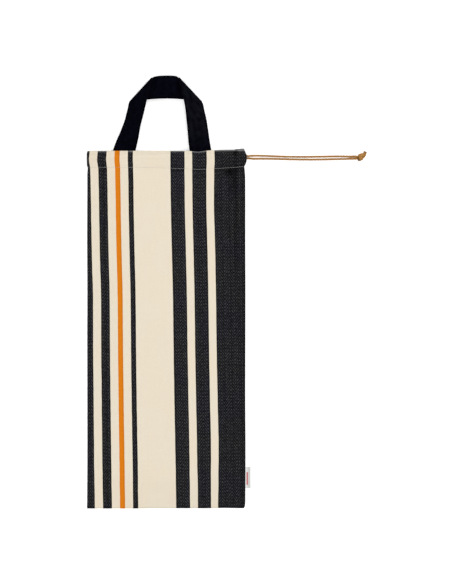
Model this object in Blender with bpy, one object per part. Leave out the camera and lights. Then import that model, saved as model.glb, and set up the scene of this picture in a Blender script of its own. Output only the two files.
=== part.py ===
"""Linen bread bag lying flat on its back: striped cloth bag with a drawcord casing,
a tape handle with two soft corner folds, a seam tab, and a knotted drawcord.

Frame: +X to the right across the bag, +Y from the bag's bottom to its handle, +Z up.
The bag lies on z = 0.  All sizes below are in millimetres unless a name says otherwise.
"""

import math

import bmesh
import bpy
import numpy as np

MM = 0.001

# ---------------------------------------------------------------- driving sizes
PLY = 1.0  # thickness of one layer of the bag's cloth
BAG_LEFT, BAG_RIGHT = -154.65, 145.4  # outline of the bag's body
BOTTOM_Y = -412.9  # the fold at the bag's bottom
BODY_STACK = 13.2  # height of the empty bag over its middle
BOTTOM_STACK = 3.4  # height at the bottom fold
STITCH_STACK = 14.4  # height at the casing's stitch line
SEAM_RADIUS = 1.6  # half the height of a side seam's edge
SEAM_ALLOWANCE = 4.0  # how far a side seam's turned edges reach into the bag
HEM_TURN = 2.5  # how far the casing's hem reaches past its stitch line
CORD_D = 3.0
TUNNEL = CORD_D + 0.8  # room for the cord inside the casing
CORD_Y_FRONT, CORD_Y_BACK = 260.6, 254.9  # where the two cord ends leave the slit
SIDE_INNER = 0.8  # smallest radius of the mouth's left end

TAPE_WIDTH, TAPE_THICK = 41.0, 1.6
FOLD_RADIUS = 2.6  # middle radius of the tape's two corner folds
FOLD_TURN = (48.0, -75.0)  # where the leg leaves the fold and where the bar does, in degrees

LABEL_X1, LABEL_Y0, LABEL_Y1 = 155.7, -374.2, -335.2
LABEL_PLY, LABEL_GAP = 0.6, 0.4

KNOT_C = (365.8, 257.8, 4.0)
KNOT_R = (5.4, 6.6, 4.0)
TAIL_END_A, TAIL_END_B = (377.0, 268.6), (372.6, 270.4)
GAP = 0.3  # clearance between pieces that touch

# top edge of the front and back casing: columns x, y
TOP_EDGE = [
    (-156.0, 269.8), (-66.0, 269.8), (20.0, 269.6), (42.0, 267.8), (71.0, 270.0),
    (113.0, 271.1), (127.0, 271.9), (136.0, 272.6), (148.0, 273.0),
]
# stitch line of the casing: columns x, y
STITCH = [
    (-156.0, 238.1), (-70.0, 238.1), (16.0, 236.2), (58.0, 234.4),
    (94.0, 236.2), (124.0, 238.1), (148.0, 240.3),
]
# outline of the sides: columns y, left x, right x
SIDES = [
    (-412.9, -152.2, 142.4), (-409.5, -154.2, 144.6), (-400.0, -154.65, 145.3),
    (-200.0, -154.65, 145.5), (0.0, -154.65, 145.4), (200.0, -154.65, 145.4),
    (229.0, -154.9, 145.2), (236.0, -154.2, 143.9), (241.0, -154.8, 144.6),
    (250.0, -155.7, 146.6), (258.0, -155.7, 147.6), (266.0, -155.5, 146.9),
    (273.0, -154.6, 146.0),
]
# stack height over the middle and edge radius of the body: columns y, stack, radius
STACKS = [
    (-411.9, BOTTOM_STACK, 1.5), (-404.0, 5.0, 1.6), (-385.0, 8.4, SEAM_RADIUS),
    (-345.0, BODY_STACK, SEAM_RADIUS), (205.0, BODY_STACK, SEAM_RADIUS),
    (222.0, 13.5, 1.9), (231.0, 14.0, 2.6), (236.0, STITCH_STACK, 2.9),
]
BODY_ROWS = [-411.9, -407.0, -398.0, -382.0, -360.0, -325.0, -285.0, -240.0,
             -190.0, -140.0, -90.0, -40.0, 10.0, 60.0, 105.0, 145.0, 178.0,
             200.0, 216.0, 226.5]
PANEL_COLUMNS = 16  # columns of the front, and of the back, between the edges

# casing rows from the stitch line up: columns distance from the cord, share of the way from
# the stitch line to the cord's swell, room in the tunnel
SWELL = 4.6
CASING = [(None, 0.38, 0.5), (None, 0.72, 0.7), (-SWELL, 1.0, 2.0), (-1.7, 1.0, TUNNEL),
          (1.7, 1.0, TUNNEL), (SWELL, 1.0, 2.0)]
TOP_ROOM, STITCH_ROOM = 0.6, 0.3
# underside of the front casing from the cord: columns distance, height over the middle,
# height at the slit
LEVELS = [(-24.0, 12.2, 2.9), (-15.0, 12.2, 4.3), (-10.3, 12.15, 5.3), (-7.6, 12.15, 6.6),
          (-4.6, 12.15, 6.7), (4.6, 12.15, 6.7), (9.0, 12.1, 6.2), (20.0, 12.1, 6.2)]

# handle legs from the sewn end up: columns centre x, y, z, lean, tilt (degrees)
LEG_LEFT = [
    (-94.8, 239.5, 3.6, 15.0, 0.0), (-92.8, 247.5, 5.3, 16.0, 0.0),
    (-90.2, 257.0, 6.95, 17.0, 0.0), (-88.2, 263.5, 6.5, 17.5, 0.0),
    (-86.3, 269.5, 5.8, 17.7, 0.0), (-83.8, 277.2, 7.6, 17.7, 7.0),
    (-80.2, 288.7, 12.6, 18.0, 21.0), (-76.3, 300.2, 16.6, 17.5, 29.0),
    (-72.9, 311.6, 18.6, 16.5, 35.6), (-69.4, 323.1, 19.6, 15.7, 40.0),
    (-66.4, 334.6, 20.0, 15.0, 40.0), (-63.5, 346.0, 20.0, 14.5, 40.0),
    (-60.8, 357.5, 19.5, 14.5, 40.0),
]
LEG_RIGHT = [
    (64.4, 239.5, 3.6, 7.0, 0.0), (63.4, 247.5, 5.3, 7.5, 0.0),
    (62.2, 257.0, 6.95, 8.0, 0.0), (61.3, 263.5, 6.5, 8.0, 0.0),
    (60.5, 269.5, 5.8, 8.0, 0.0), (59.4, 277.2, 7.4, 8.0, 7.0),
    (57.7, 288.7, 10.6, 7.5, 15.0), (56.4, 300.2, 13.0, 7.0, 18.5),
    (55.1, 311.6, 14.6, 7.2, 21.5), (53.7, 323.1, 15.8, 7.8, 24.0),
    (51.9, 334.6, 16.8, 9.0, 28.0), (50.0, 346.0, 17.4, 9.8, 32.0),
    (48.0, 357.5, 17.6, 10.2, 35.0),
]
# the tape between the casings, lying on the back one: columns y, z
IN_MOUTH = [(230.0, 3.75), (243.0, 3.85), (247.8, 5.3), (251.2, 7.05), (259.8, 7.05),
            (264.0, 6.0), (270.0, 5.4), (280.0, 5.4)]
# corner folds, outer edge end and inner edge end: columns x, y, z
FOLD_LEFT = [(-74.8, 364.2, 4.2), (-34.1, 409.6, 16.0)]
FOLD_RIGHT = [(63.4, 364.2, 4.2), (21.4, 408.5, 15.5)]
# the bar between the folds: columns x, y, z
BAR_LOW = [(-60.0, 366.9, 3.9), (-45.0, 368.6, 7.6), (-30.0, 369.8, 10.8),
           (-4.0, 370.9, 12.8), (22.0, 369.7, 10.8), (36.0, 368.4, 7.6),
           (50.0, 366.6, 3.9)]
BAR_HIGH = [(-22.0, 411.7, 13.6), (-5.0, 412.75, 13.9), (11.0, 412.0, 13.4)]

# free cord runs, as centres: columns x, y, z
RUN_FRONT = [(156.0, 260.5, 8.5), (168.0, 260.0, 5.3), (182.0, 259.6, 2.5),
             (200.0, 259.3, 1.6), (228.0, 258.6, 1.56), (254.0, 258.3, 1.56),
             (290.0, 258.7, 1.56), (320.0, 259.3, 1.56), (336.0, 259.5, 1.56),
             (349.0, 259.5, 1.8)]
RUN_BACK = [(156.0, 254.8, 2.3), (168.0, 254.6, 1.75), (182.0, 254.3, 1.6),
            (200.0, 254.0, 1.56), (228.0, 253.6, 1.56), (254.0, 253.5, 1.56),
            (290.0, 253.9, 1.56), (320.0, 254.6, 1.56), (336.0, 255.2, 1.56),
            (349.0, 256.0, 1.8)]


# ---------------------------------------------------------------- helpers
def column(table, k, at):
    """Smooth reading of column k of a table against its first column."""
    xs = np.array([row[0] for row in table], float)
    ys = np.array([row[k] for row in table], float)
    at = float(min(max(at, xs[0]), xs[-1]))
    j = int(min(max(np.searchsorted(xs, at) - 1, 0), len(xs) - 2))
    h = xs[j + 1] - xs[j]
    t = (at - xs[j]) / h
    slope = np.diff(ys) / np.diff(xs)

    def tangent(m):
        if m == 0 or m == len(xs) - 1:
            return slope[0] if m == 0 else slope[-1]
        a, b = slope[m - 1], slope[m]
        return 0.0 if a * b <= 0 else 2 * a * b / (a + b)

    m0, m1 = tangent(j) * h, tangent(j + 1) * h
    return float(
        (2 * t**3 - 3 * t**2 + 1) * ys[j] + (t**3 - 2 * t**2 + t) * m0
        + (-2 * t**3 + 3 * t**2) * ys[j + 1] + (t**3 - t**2) * m1
    )


def ease(t):
    t = min(max(t, 0.0), 1.0)
    return t * t * (3 - 2 * t)


def through(points, per=12):
    """Dense centripetal curve through points."""
    p = np.array(points, float)
    p = np.vstack([2 * p[0] - p[1], p, 2 * p[-1] - p[-2]])
    out = []
    for a, b, c, d in zip(p[:-3], p[1:-2], p[2:-1], p[3:]):
        t0 = 0.0
        t1 = t0 + max(np.linalg.norm(b - a), 1e-6) ** 0.5
        t2 = t1 + max(np.linalg.norm(c - b), 1e-6) ** 0.5
        t3 = t2 + max(np.linalg.norm(d - c), 1e-6) ** 0.5
        for k in range(per):
            t = t1 + (t2 - t1) * k / per
            a1 = (t1 - t) / (t1 - t0) * a + (t - t0) / (t1 - t0) * b
            a2 = (t2 - t) / (t2 - t1) * b + (t - t1) / (t2 - t1) * c
            a3 = (t3 - t) / (t3 - t2) * c + (t - t2) / (t3 - t2) * d
            b1 = (t2 - t) / (t2 - t0) * a1 + (t - t0) / (t2 - t0) * a2
            b2 = (t3 - t) / (t3 - t1) * a2 + (t - t1) / (t3 - t1) * a3
            out.append((t2 - t) / (t2 - t1) * b1 + (t - t1) / (t2 - t1) * b2)
    out.append(p[-2])
    return np.array(out)


def arc_lengths(curve):
    steps = np.linalg.norm(np.diff(curve, axis=0), axis=1)
    return np.concatenate([[0.0], np.cumsum(steps)])


def at_length(curve, s):
    lengths = arc_lengths(curve)
    s = np.clip(s, 0.0, lengths[-1])
    return np.array([np.interp(s, lengths, curve[:, k]) for k in range(3)]).T


# ---------------------------------------------------------------- bag cloth
def ring_columns():
    """Places round the bag, from the right seam over the front to the left edge and
    back along the back: (kind, value, facing)."""
    inner = [0.5 - 0.5 * math.cos(math.pi * (k + 0.5) / PANEL_COLUMNS) for k in range(PANEL_COLUMNS)]
    ring = [("right", 0, 1), ("right", 45, 1), ("right", 90, 1)]
    ring += [("plate", 1 - f, 1) for f in inner]
    ring += [("left", a, 1) for a in (90, 60, 30, 0)] + [("left", a, -1) for a in (30, 60, 90)]
    ring += [("plate", f, -1) for f in inner]
    ring += [("right", 90, -1), ("right", 45, -1), ("right", 0, -1)]
    return ring


RING = ring_columns()
LAST = len(RING) - 1  # same place as column 0 below the slit
LEFT_EXTREME = PANEL_COLUMNS + 6
PLATE_INSET = 10.0


def cord_line(k):
    """Height on the bag (y) of the cord inside the casing at ring place k."""
    return CORD_Y_FRONT + (CORD_Y_BACK - CORD_Y_FRONT) * k / LAST


def rough_x(k):
    kind, value, _ = RING[k]
    if kind == "left":
        return BAG_LEFT
    if kind == "right":
        return BAG_RIGHT
    return BAG_LEFT + PLATE_INSET + value * (BAG_RIGHT - BAG_LEFT - 2 * PLATE_INSET)


def place(k, y, offset, room, slit, inset=0.0, stack=None, radius=None):
    """A point of the cloth at ring place k and height y, offset inward from the outer face.

    room is the tunnel's height at this row (None on the body); slit tells that the
    casing is open at the right seam; inset moves the edge of an inner face inward.
    """
    kind, value, facing = RING[k]
    left, right = column(SIDES, 1, y), column(SIDES, 2, y)
    if room is None:
        mid = column(STACKS, 1, y) if stack is None else stack
        r_left = r_right = column(STACKS, 2, y) if radius is None else radius
        end_left = end_right = 2 * r_left
    else:
        casing = 2 * PLY + room
        from_cord = y - cord_line(k if facing > 0 else LAST - k)
        mid = casing + column(LEVELS, 1, from_cord)
        r_left = r_right = casing + SIDE_INNER
        end_left, end_right = 2 * r_left, casing + column(LEVELS, 2, from_cord)
    if kind == "plate" or (kind == "right" and slit):
        if kind == "plate":
            x = left + PLATE_INSET + value * (right - left - 2 * PLATE_INSET)
        else:
            x = right - {0: 0.0, 45: 2.0, 90: 5.0}[value]
        from_left, from_right = x - left, right - x
        reach = 62.0
        if from_left < from_right:
            top = end_left + (mid - end_left) * ease((from_left - 2) / reach)
        else:
            top = end_right + (mid - end_right) * ease(from_right / reach)
        z = top - offset if facing > 0 else offset
        return (x, y, z)
    angle = math.radians(value) * facing
    r = r_left if kind == "left" else r_right
    inner = max(r - offset, 0.6) if inset else r - offset
    across = inset + (0.6 if inset else r)
    if kind == "left":
        x = left + across - inner * math.cos(angle)
    else:
        x = right - across + inner * math.cos(angle)
    # an outer row near the bottom narrows with the stack, so the edge stays round
    return (x, y, r + inner * math.sin(angle))


def casing_y(n, k, stitch, cord):
    """Height on the bag of casing row n at ring place k."""
    from_cord, share, _ = CASING[n]
    if from_cord is not None:
        return cord[k] + from_cord
    return stitch[k] + share * (cord[k] - SWELL - stitch[k])


def bag_rows():
    """The cloth's face as rows: outside from bottom to top, over the top fold and down
    inside to the bottom.  Each row is (points by ring place, open at the slit)."""
    count = LAST + 1
    rows = []
    for y in BODY_ROWS:
        rows.append(([place(k, y, 0.0, None, False) for k in range(count)], False))
    stitch = [column(STITCH, 1, rough_x(k)) for k in range(count)]
    top = [column(TOP_EDGE, 1, rough_x(k)) for k in range(count)]
    cord = [cord_line(k) for k in range(count)]

    def casing_row(n, offset):
        return [place(k, casing_y(n, k, stitch, cord), offset, CASING[n][2], True) for k in range(count)]

    rows.append(([place(k, stitch[k], 0.0, None, False, stack=STITCH_STACK, radius=2.9) for k in range(count)], False))
    for n in range(len(CASING)):
        rows.append((casing_row(n, 0.0), True))
    rows.append(([place(k, top[k] - 1.1, 0.0, TOP_ROOM, True) for k in range(count)], True))
    rows.append(([place(k, top[k], PLY + TOP_ROOM / 2, TOP_ROOM, True) for k in range(count)], True))
    rows.append(([place(k, top[k] - 1.1, 2 * PLY + TOP_ROOM, TOP_ROOM, True) for k in range(count)], True))
    for n in reversed(range(len(CASING))):
        rows.append((casing_row(n, 2 * PLY + CASING[n][2]), True))
    rows.append(([place(k, stitch[k] - HEM_TURN, 2 * PLY + STITCH_ROOM, None, False, stack=STITCH_STACK, radius=2.9)
                  for k in range(count)], False))
    rows.append(([place(k, stitch[k] - HEM_TURN - 1.0, PLY, None, False, inset=SEAM_ALLOWANCE, stack=STITCH_STACK, radius=2.8)
                  for k in range(count)], False))
    for y in reversed(BODY_ROWS[1:]):
        rows.append(([place(k, y, PLY, None, False, inset=SEAM_ALLOWANCE) for k in range(count)], False))
    return rows, stitch, top, cord


def tunnel_rows(rows, stitch, top, cord):
    """Rows of the tunnel's wall, beside the casing's outer rows and then its hem's rows."""
    count = LAST + 1
    outer, hem = [], []
    for n, (_, _, room) in enumerate(CASING):
        outer.append([place(k, casing_y(n, k, stitch, cord), PLY, room, True) for k in range(count)])
        hem.append([place(k, casing_y(n, k, stitch, cord), PLY + room, room, True) for k in range(count)])
    start = len(BODY_ROWS)
    seam_out, seam_in = rows[start][0], rows[start + 2 * len(CASING) + 4][0]
    close_out, close_in = [], []
    for k in range(count):
        seam = (np.array(seam_out[k]) + np.array(seam_in[k])) / 2
        a, b = np.array(outer[0][k]), np.array(hem[0][k])
        spot = seam + 0.55 * ((a + b) / 2 - seam)
        apart = (a - b) / np.linalg.norm(a - b) * STITCH_ROOM / 2
        close_out.append(spot + apart)
        close_in.append(spot - apart)
    crown = [
        [place(k, top[k] - 2.0, PLY, TOP_ROOM, True) for k in range(count)],
        [place(k, top[k] - 1.3, PLY + TOP_ROOM / 2, TOP_ROOM, True) for k in range(count)],
        [place(k, top[k] - 2.0, PLY + TOP_ROOM, TOP_ROOM, True) for k in range(count)],
    ]
    return [close_out] + outer + crown + hem[::-1] + [close_in]


def bag_mesh():
    rows, stitch, top, cord = bag_rows()
    verts, faces = [], []

    def add(point):
        verts.append([c * MM for c in point])
        return len(verts) - 1

    ids = []
    for points, slit in rows:
        row = [add(p) for p in points[:-1]]
        row.append(add(points[-1]) if slit else row[0])
        ids.append(row)
    for a, b in zip(ids[:-1], ids[1:]):
        for k in range(LAST):
            faces.append([a[k], a[k + 1], b[k + 1], b[k]])

    # the fold at the bottom, outside and inside
    half = LAST // 2
    bottom_points, inner_points = rows[0][0], rows[-1][0]

    def fold_row(row, points, y, flip):
        fold = [row[0]]
        for k in range(1, half):
            front, back = points[k], points[LAST - k]
            fold.append(add((0.5 * (front[0] + back[0]), y, 0.5 * (front[2] + back[2]))))
        fold.append(row[half])
        for k in range(half):
            for side in (1, -1):
                i0, i1 = (k, k + 1) if side > 0 else ((LAST - k) % LAST, LAST - k - 1)
                quad = [row[i0], row[i1], fold[k + 1], fold[k]]
                quad = [v for n, v in enumerate(quad) if v not in quad[:n]]
                if (side < 0) != flip:
                    quad.reverse()
                faces.append(quad)

    fold_row(ids[0], bottom_points, BOTTOM_Y, True)
    fold_row(ids[-1], inner_points, BODY_ROWS[1] - 2.6, False)

    # the casing's tunnel, and its two open ends at the slit
    start = len(BODY_ROWS)  # the stitch row
    tunnel = [[add(p) for p in row] for row in tunnel_rows(rows, stitch, top, cord)]
    count = len(tunnel)
    for n in range(count):
        a, b = tunnel[n], tunnel[(n + 1) % count]
        for k in range(LAST):
            faces.append([a[k + 1], a[k], b[k], b[k + 1]])
    for n in range(count):
        m = (n + 1) % count
        outer_a, outer_b = ids[start + n], ids[start + m]
        for k, flip in ((0, False), (LAST, True)):
            quad = [outer_a[k], outer_b[k], tunnel[m][k], tunnel[n][k]]
            if flip:
                quad.reverse()
            faces.append(quad)
    return verts, faces


# ---------------------------------------------------------------- handle tape
def leg_rails(table, side):
    """Outer and inner edge of one leg from its sewn end up; side is +1 left, -1 right."""
    outer, inner = [], []
    for cx, cy, cz, lean, tilt in table:
        lean, tilt = math.radians(lean), math.radians(tilt)
        across = np.array([side * math.cos(lean) * math.cos(tilt), -math.sin(lean) * math.cos(tilt), math.sin(tilt)])
        centre = np.array([cx, cy, cz])
        outer.append(centre - across * TAPE_WIDTH / 2)
        inner.append(centre + across * TAPE_WIDTH / 2)
    return outer, inner


def fold_rows(ends, side, steps, start, stop):
    """Rows round a corner fold, from the leg's side on top to the bar's side below."""
    a, b = np.array(ends[0]), np.array(ends[1])
    along = (b - a) / np.linalg.norm(b - a)
    out = np.cross(along, [0, 0, 1.0])
    out /= np.linalg.norm(out)
    if out[0] * side > 0:
        out = -out
    up = np.cross(out, along)
    if up[2] < 0:
        up = -up
    rows = []
    for k in range(steps + 1):
        phi = math.radians(start + (stop - start) * k / steps)
        shift = FOLD_RADIUS * (math.sin(phi) * up - (1 - math.cos(phi)) * out)
        rows.append((a + shift, b + shift))
    return rows


def leg_rows(table, fold_top, side, count, straight):
    outer, inner = leg_rails(table, side)
    rail_o = through(outer + [fold_top[0]])
    rail_i = through(inner + [fold_top[1]])
    len_o, len_i = arc_lengths(rail_o)[-1], arc_lengths(rail_i)[-1]
    s_o = np.linspace(0, len_o, count + 1)[:-1]
    s_i = s_o + (len_i - len_o) * np.array([ease((s - straight) / (len_o - straight)) for s in s_o])
    return list(zip(at_length(rail_o, s_o), at_length(rail_i, s_i)))


def tape_rows(leg_count=25, bar_count=11, fold_steps=4):
    left_fold = fold_rows(FOLD_LEFT, 1, fold_steps, *FOLD_TURN)
    right_fold = fold_rows(FOLD_RIGHT, -1, fold_steps, *FOLD_TURN)
    rows = leg_rows(LEG_LEFT, left_fold[0], 1, leg_count, 55.0)
    rows += left_fold
    low = through([left_fold[-1][0]] + BAR_LOW + [right_fold[-1][0]])
    high = through([left_fold[-1][1]] + BAR_HIGH + [right_fold[-1][1]])
    f = np.linspace(0, 1, bar_count + 1)[1:-1]
    rows += list(zip(at_length(low, f * arc_lengths(low)[-1]), at_length(high, f * arc_lengths(high)[-1])))
    rows += right_fold[::-1]
    rows += leg_rows(LEG_RIGHT, right_fold[0], -1, leg_count, 55.0)[::-1]
    return rows


def tape_mesh(across=4):
    rows = tape_rows()
    grid = np.array([[a + (b - a) * k / across for k in range(across + 1)] for a, b in rows])
    for p in grid.reshape(-1, 3):
        if p[1] < 282.0:
            free = ease((p[1] - 269.5) / 12.5)
            p[2] = column(IN_MOUTH, 1, p[1]) * (1 - free) + p[2] * free
    d_row = np.gradient(grid, axis=0)
    d_col = np.gradient(grid, axis=1)
    normal = np.cross(d_row, d_col)
    normal /= np.linalg.norm(normal, axis=2, keepdims=True)
    top, low = grid + normal * TAPE_THICK / 2, grid - normal * TAPE_THICK / 2
    n, m = grid.shape[:2]
    verts = [list(p * MM) for p in top.reshape(-1, 3)] + [list(p * MM) for p in low.reshape(-1, 3)]
    faces = []
    base = n * m
    for i in range(n - 1):
        for j in range(m - 1):
            a, b, c, d = i * m + j, (i + 1) * m + j, (i + 1) * m + j + 1, i * m + j + 1
            faces.append([a, b, c, d])
            faces.append([base + d, base + c, base + b, base + a])
        for j, flip in ((0, False), (m - 1, True)):
            a, b = i * m + j, (i + 1) * m + j
            quad = [a, base + a, base + b, b]
            faces.append(quad[::-1] if flip else quad)
    for i, flip in ((0, True), (n - 1, False)):
        for j in range(m - 1):
            a, d = i * m + j, i * m + j + 1
            quad = [a, base + a, base + d, d]
            faces.append(quad[::-1] if flip else quad)
    return verts, faces


# ---------------------------------------------------------------- seam tab
def label_mesh(segments=5):
    """A ribbon folded once: two layers joined by a round fold at the outer end."""
    half = LABEL_PLY + LABEL_GAP / 2
    x0 = BAG_RIGHT + 0.1 + GAP
    xr = LABEL_X1 - half
    profile = []
    steps = 5
    for k in range(steps + 1):  # outside face, from the top layer round to the bottom one
        a = math.pi / 2 - math.pi * k / steps
        profile.append((xr + half * math.cos(a), half * math.sin(a)))
    profile.append((x0, -half))
    profile.append((x0, -LABEL_GAP / 2))
    for k in range(steps + 1):
        a = -math.pi / 2 + math.pi * k / steps
        profile.append((xr + LABEL_GAP / 2 * math.cos(a), LABEL_GAP / 2 * math.sin(a)))
    profile.append((x0, LABEL_GAP / 2))
    profile.append((x0, half))
    verts, faces = [], []
    n = len(profile)
    for s in range(segments + 1):
        y = LABEL_Y0 + (LABEL_Y1 - LABEL_Y0) * s / segments
        for x, z in profile:
            droop = 0.75 * ((x - x0) / (LABEL_X1 - x0)) ** 2
            verts.append([x * MM, y * MM, (z + 1.66 - droop) * MM])
    for s in range(segments):
        for k in range(n):
            a, b = s * n + k, s * n + (k + 1) % n
            faces.append([a, a + n, b + n, b])
    # the two ends, as strips between the outside and the inside of the fold
    outside = list(range(n - 1, n)) + list(range(0, steps + 2))
    inside = [n - 2] + list(range(n - 3, n - 3 - steps - 1, -1)) + [steps + 2]
    for s, flip in ((0, False), (segments, True)):
        for k in range(len(outside) - 1):
            quad = [s * n + outside[k], s * n + outside[k + 1], s * n + inside[k + 1], s * n + inside[k]]
            faces.append(quad[::-1] if flip else quad)
    return verts, faces


# ---------------------------------------------------------------- drawcord
def held_route():
    """Centre line of the cord inside the casing, from the front end at the slit over
    the front, round the left edge and along the back to the other end."""
    centre = []
    for k in range(LAST + 1):
        bend = 0.08 if RING[k][0] == "left" else 0.0
        centre.append(place(k, cord_line(k), PLY + TUNNEL / 2 + bend, TUNNEL, True))
    fine = through(centre, per=16)
    total = arc_lengths(fine)[-1]
    lengths = arc_lengths(fine)
    left = min(range(len(fine)), key=lambda i: fine[i][0])
    turn = lengths[left]
    marks = list(np.arange(0, turn - 14, 9.5)) + list(np.arange(turn - 12, turn + 12.1, 2.0))
    marks += list(total - np.arange(0, total - turn - 14, 9.5)[::-1])
    return at_length(fine, np.array(marks))


def free_route(start, run, end):
    fine = through([start] + list(run) + [end], per=16)
    total = arc_lengths(fine)[-1]
    return at_length(fine, np.linspace(0, total, 30))


def make_cord(name, points, material):
    curve = bpy.data.curves.new(name, "CURVE")
    curve.dimensions = "3D"
    curve.bevel_depth = CORD_D / 2 * MM
    curve.bevel_resolution = 2
    curve.use_fill_caps = True
    spline = curve.splines.new("POLY")
    spline.points.add(len(points) - 1)
    for spot, p in zip(spline.points, points):
        spot.co = (p[0] * MM, p[1] * MM, p[2] * MM, 1.0)
    spline.use_smooth = True
    obj = bpy.data.objects.new(name, curve)
    bpy.context.scene.collection.objects.link(obj)
    curve.materials.append(material)
    return obj


def tube(points, radius, sides=8):
    """Closed mesh tube through points, as (verts, faces)."""
    p = np.array(points, float)
    tangent = np.gradient(p, axis=0)
    tangent /= np.linalg.norm(tangent, axis=1, keepdims=True)
    verts, faces = [], []
    ref = np.array([0.0, 0.0, 1.0])
    for c, t in zip(p, tangent):
        u = np.cross(t, ref)
        u /= np.linalg.norm(u)
        w = np.cross(u, t)
        for k in range(sides):
            a = 2 * math.pi * k / sides
            verts.append(list((c + radius * (math.cos(a) * u + math.sin(a) * w)) * MM))
    n = len(p)
    for i in range(n - 1):
        for k in range(sides):
            a, b = i * sides + k, i * sides + (k + 1) % sides
            faces.append([a, b, b + sides, a + sides])
    faces.append([k for k in range(sides)][::-1])
    faces.append([(n - 1) * sides + k for k in range(sides)])
    return verts, faces


def knot_mesh(around=20, up=12):
    """Outer form of the overhand knot: a squashed ball with the strands' swells."""
    verts, faces = [], []
    cx, cy, cz = KNOT_C
    rx, ry, rz = KNOT_R
    for j in range(1, up):
        lat = -math.pi / 2 + math.pi * j / up
        for k in range(around):
            lon = 2 * math.pi * k / around
            swell = 1.0 + 0.07 * math.cos(3 * lon + 2.2 * lat) * math.cos(lat)
            x = cx + rx * swell * math.cos(lat) * math.cos(lon)
            y = cy + ry * swell * math.cos(lat) * math.sin(lon)
            z = cz + rz * 0.98 * math.sin(lat)
            verts.append([max(x, cx - rx + 0.9) * MM, y * MM, z * MM])
    low, high = len(verts), len(verts) + 1
    verts += [[cx * MM, cy * MM, (cz - rz * 0.98) * MM], [cx * MM, cy * MM, (cz + rz * 0.98) * MM]]
    rings = up - 1
    for j in range(rings - 1):
        for k in range(around):
            a, b = j * around + k, j * around + (k + 1) % around
            faces.append([a, b, b + around, a + around])
    for k in range(around):
        faces.append([low, (k + 1) % around, k])
        top = (rings - 1) * around
        faces.append([high, top + k, top + (k + 1) % around])
    return verts, faces


# ---------------------------------------------------------------- scene
def material(name, colour, rough):
    mat = bpy.data.materials.new(name)
    mat.use_nodes = True
    shader = mat.node_tree.nodes["Principled BSDF"]
    shader.inputs["Base Color"].default_value = (*colour, 1.0)
    shader.inputs["Roughness"].default_value = rough
    shader.inputs["Metallic"].default_value = 0.0
    return mat


def make_mesh(name, verts, faces, mat, smooth=True):
    mesh = bpy.data.meshes.new(name)
    mesh.from_pydata(verts, [], faces)
    mesh.validate()
    bm = bmesh.new()
    bm.from_mesh(mesh)
    bmesh.ops.recalc_face_normals(bm, faces=bm.faces)
    bm.to_mesh(mesh)
    bm.free()
    if smooth:
        mesh.shade_smooth()
        mesh.set_sharp_from_angle(angle=math.radians(50))
    obj = bpy.data.objects.new(name, mesh)
    bpy.context.scene.collection.objects.link(obj)
    mesh.materials.append(mat)
    return obj


def main():
    for obj in list(bpy.data.objects):
        bpy.data.objects.remove(obj, do_unlink=True)

    linen = material("striped_linen", (0.80, 0.72, 0.58), 0.9)
    tape = material("black_tape", (0.010, 0.010, 0.016), 0.85)
    ribbon = material("pale_ribbon", (0.80, 0.80, 0.78), 0.7)
    cord = material("tan_cord", (0.55, 0.29, 0.10), 0.8)

    make_mesh("bag_cloth", *bag_mesh(), linen)
    make_mesh("handle_strap", *tape_mesh(), tape)
    make_mesh("side_label", *label_mesh(), ribbon)

    held = held_route()
    make_cord("cord_in_casing", held, cord)

    def leave(first, second):
        """A point one clearance beyond the end of the held cord, along its run."""
        step = (first - second) / np.linalg.norm(first - second)
        return first + step * (GAP + 0.15)

    start_front = leave(held[0], held[1])
    start_back = leave(held[-1], held[-2])
    knot_face = KNOT_C[0] - KNOT_R[0] + 0.9 - GAP - 0.1
    make_cord("cord_leg_front", free_route(start_front, RUN_FRONT, (knot_face, KNOT_C[1] + 1.68, 3.0)), cord)
    make_cord("cord_leg_back", free_route(start_back, RUN_BACK, (knot_face, KNOT_C[1] - 1.68, 3.0)), cord)

    knot = make_mesh("cord_knot", *knot_mesh(), cord)
    kx, ky, _ = KNOT_C
    for name, end, lift in (("tail_a", TAIL_END_A, 3.2), ("tail_b", TAIL_END_B, 3.4)):
        route = through([(kx, ky, 4.0), (kx + 0.5 * (end[0] - kx), ky + 0.5 * (end[1] - ky), 4.2),
                         (end[0], end[1], lift)], per=4)
        tail = make_mesh(name, *tube(route, CORD_D / 2), cord)
        tail.hide_render = True
        tail.display_type = "WIRE"
        join = knot.modifiers.new("join_" + name, "BOOLEAN")
        join.operation = "UNION"
        join.object = tail


main()
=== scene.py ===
"""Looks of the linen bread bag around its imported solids: the striped herringbone cloth, the
casing's stitches and puckers, the tape handle, the seam tab, and the twisted drawcord.

Sizes in the tables are millimetres, in the same frame as the solids.
"""

import math

import bmesh
import bpy
import numpy as np
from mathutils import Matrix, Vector, noise
from mathutils.bvhtree import BVHTree


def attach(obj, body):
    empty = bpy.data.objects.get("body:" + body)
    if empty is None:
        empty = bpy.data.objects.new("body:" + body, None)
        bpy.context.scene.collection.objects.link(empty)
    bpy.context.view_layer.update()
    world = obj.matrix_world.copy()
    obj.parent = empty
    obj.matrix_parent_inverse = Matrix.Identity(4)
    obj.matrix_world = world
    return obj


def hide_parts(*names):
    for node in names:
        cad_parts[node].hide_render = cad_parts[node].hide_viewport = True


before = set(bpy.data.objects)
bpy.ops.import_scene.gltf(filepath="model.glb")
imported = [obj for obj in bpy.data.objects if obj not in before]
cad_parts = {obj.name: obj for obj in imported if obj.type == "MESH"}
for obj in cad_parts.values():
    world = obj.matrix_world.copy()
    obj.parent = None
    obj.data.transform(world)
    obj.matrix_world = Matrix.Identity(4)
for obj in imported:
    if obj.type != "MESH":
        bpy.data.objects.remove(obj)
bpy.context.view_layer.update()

MM = 0.001

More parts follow.
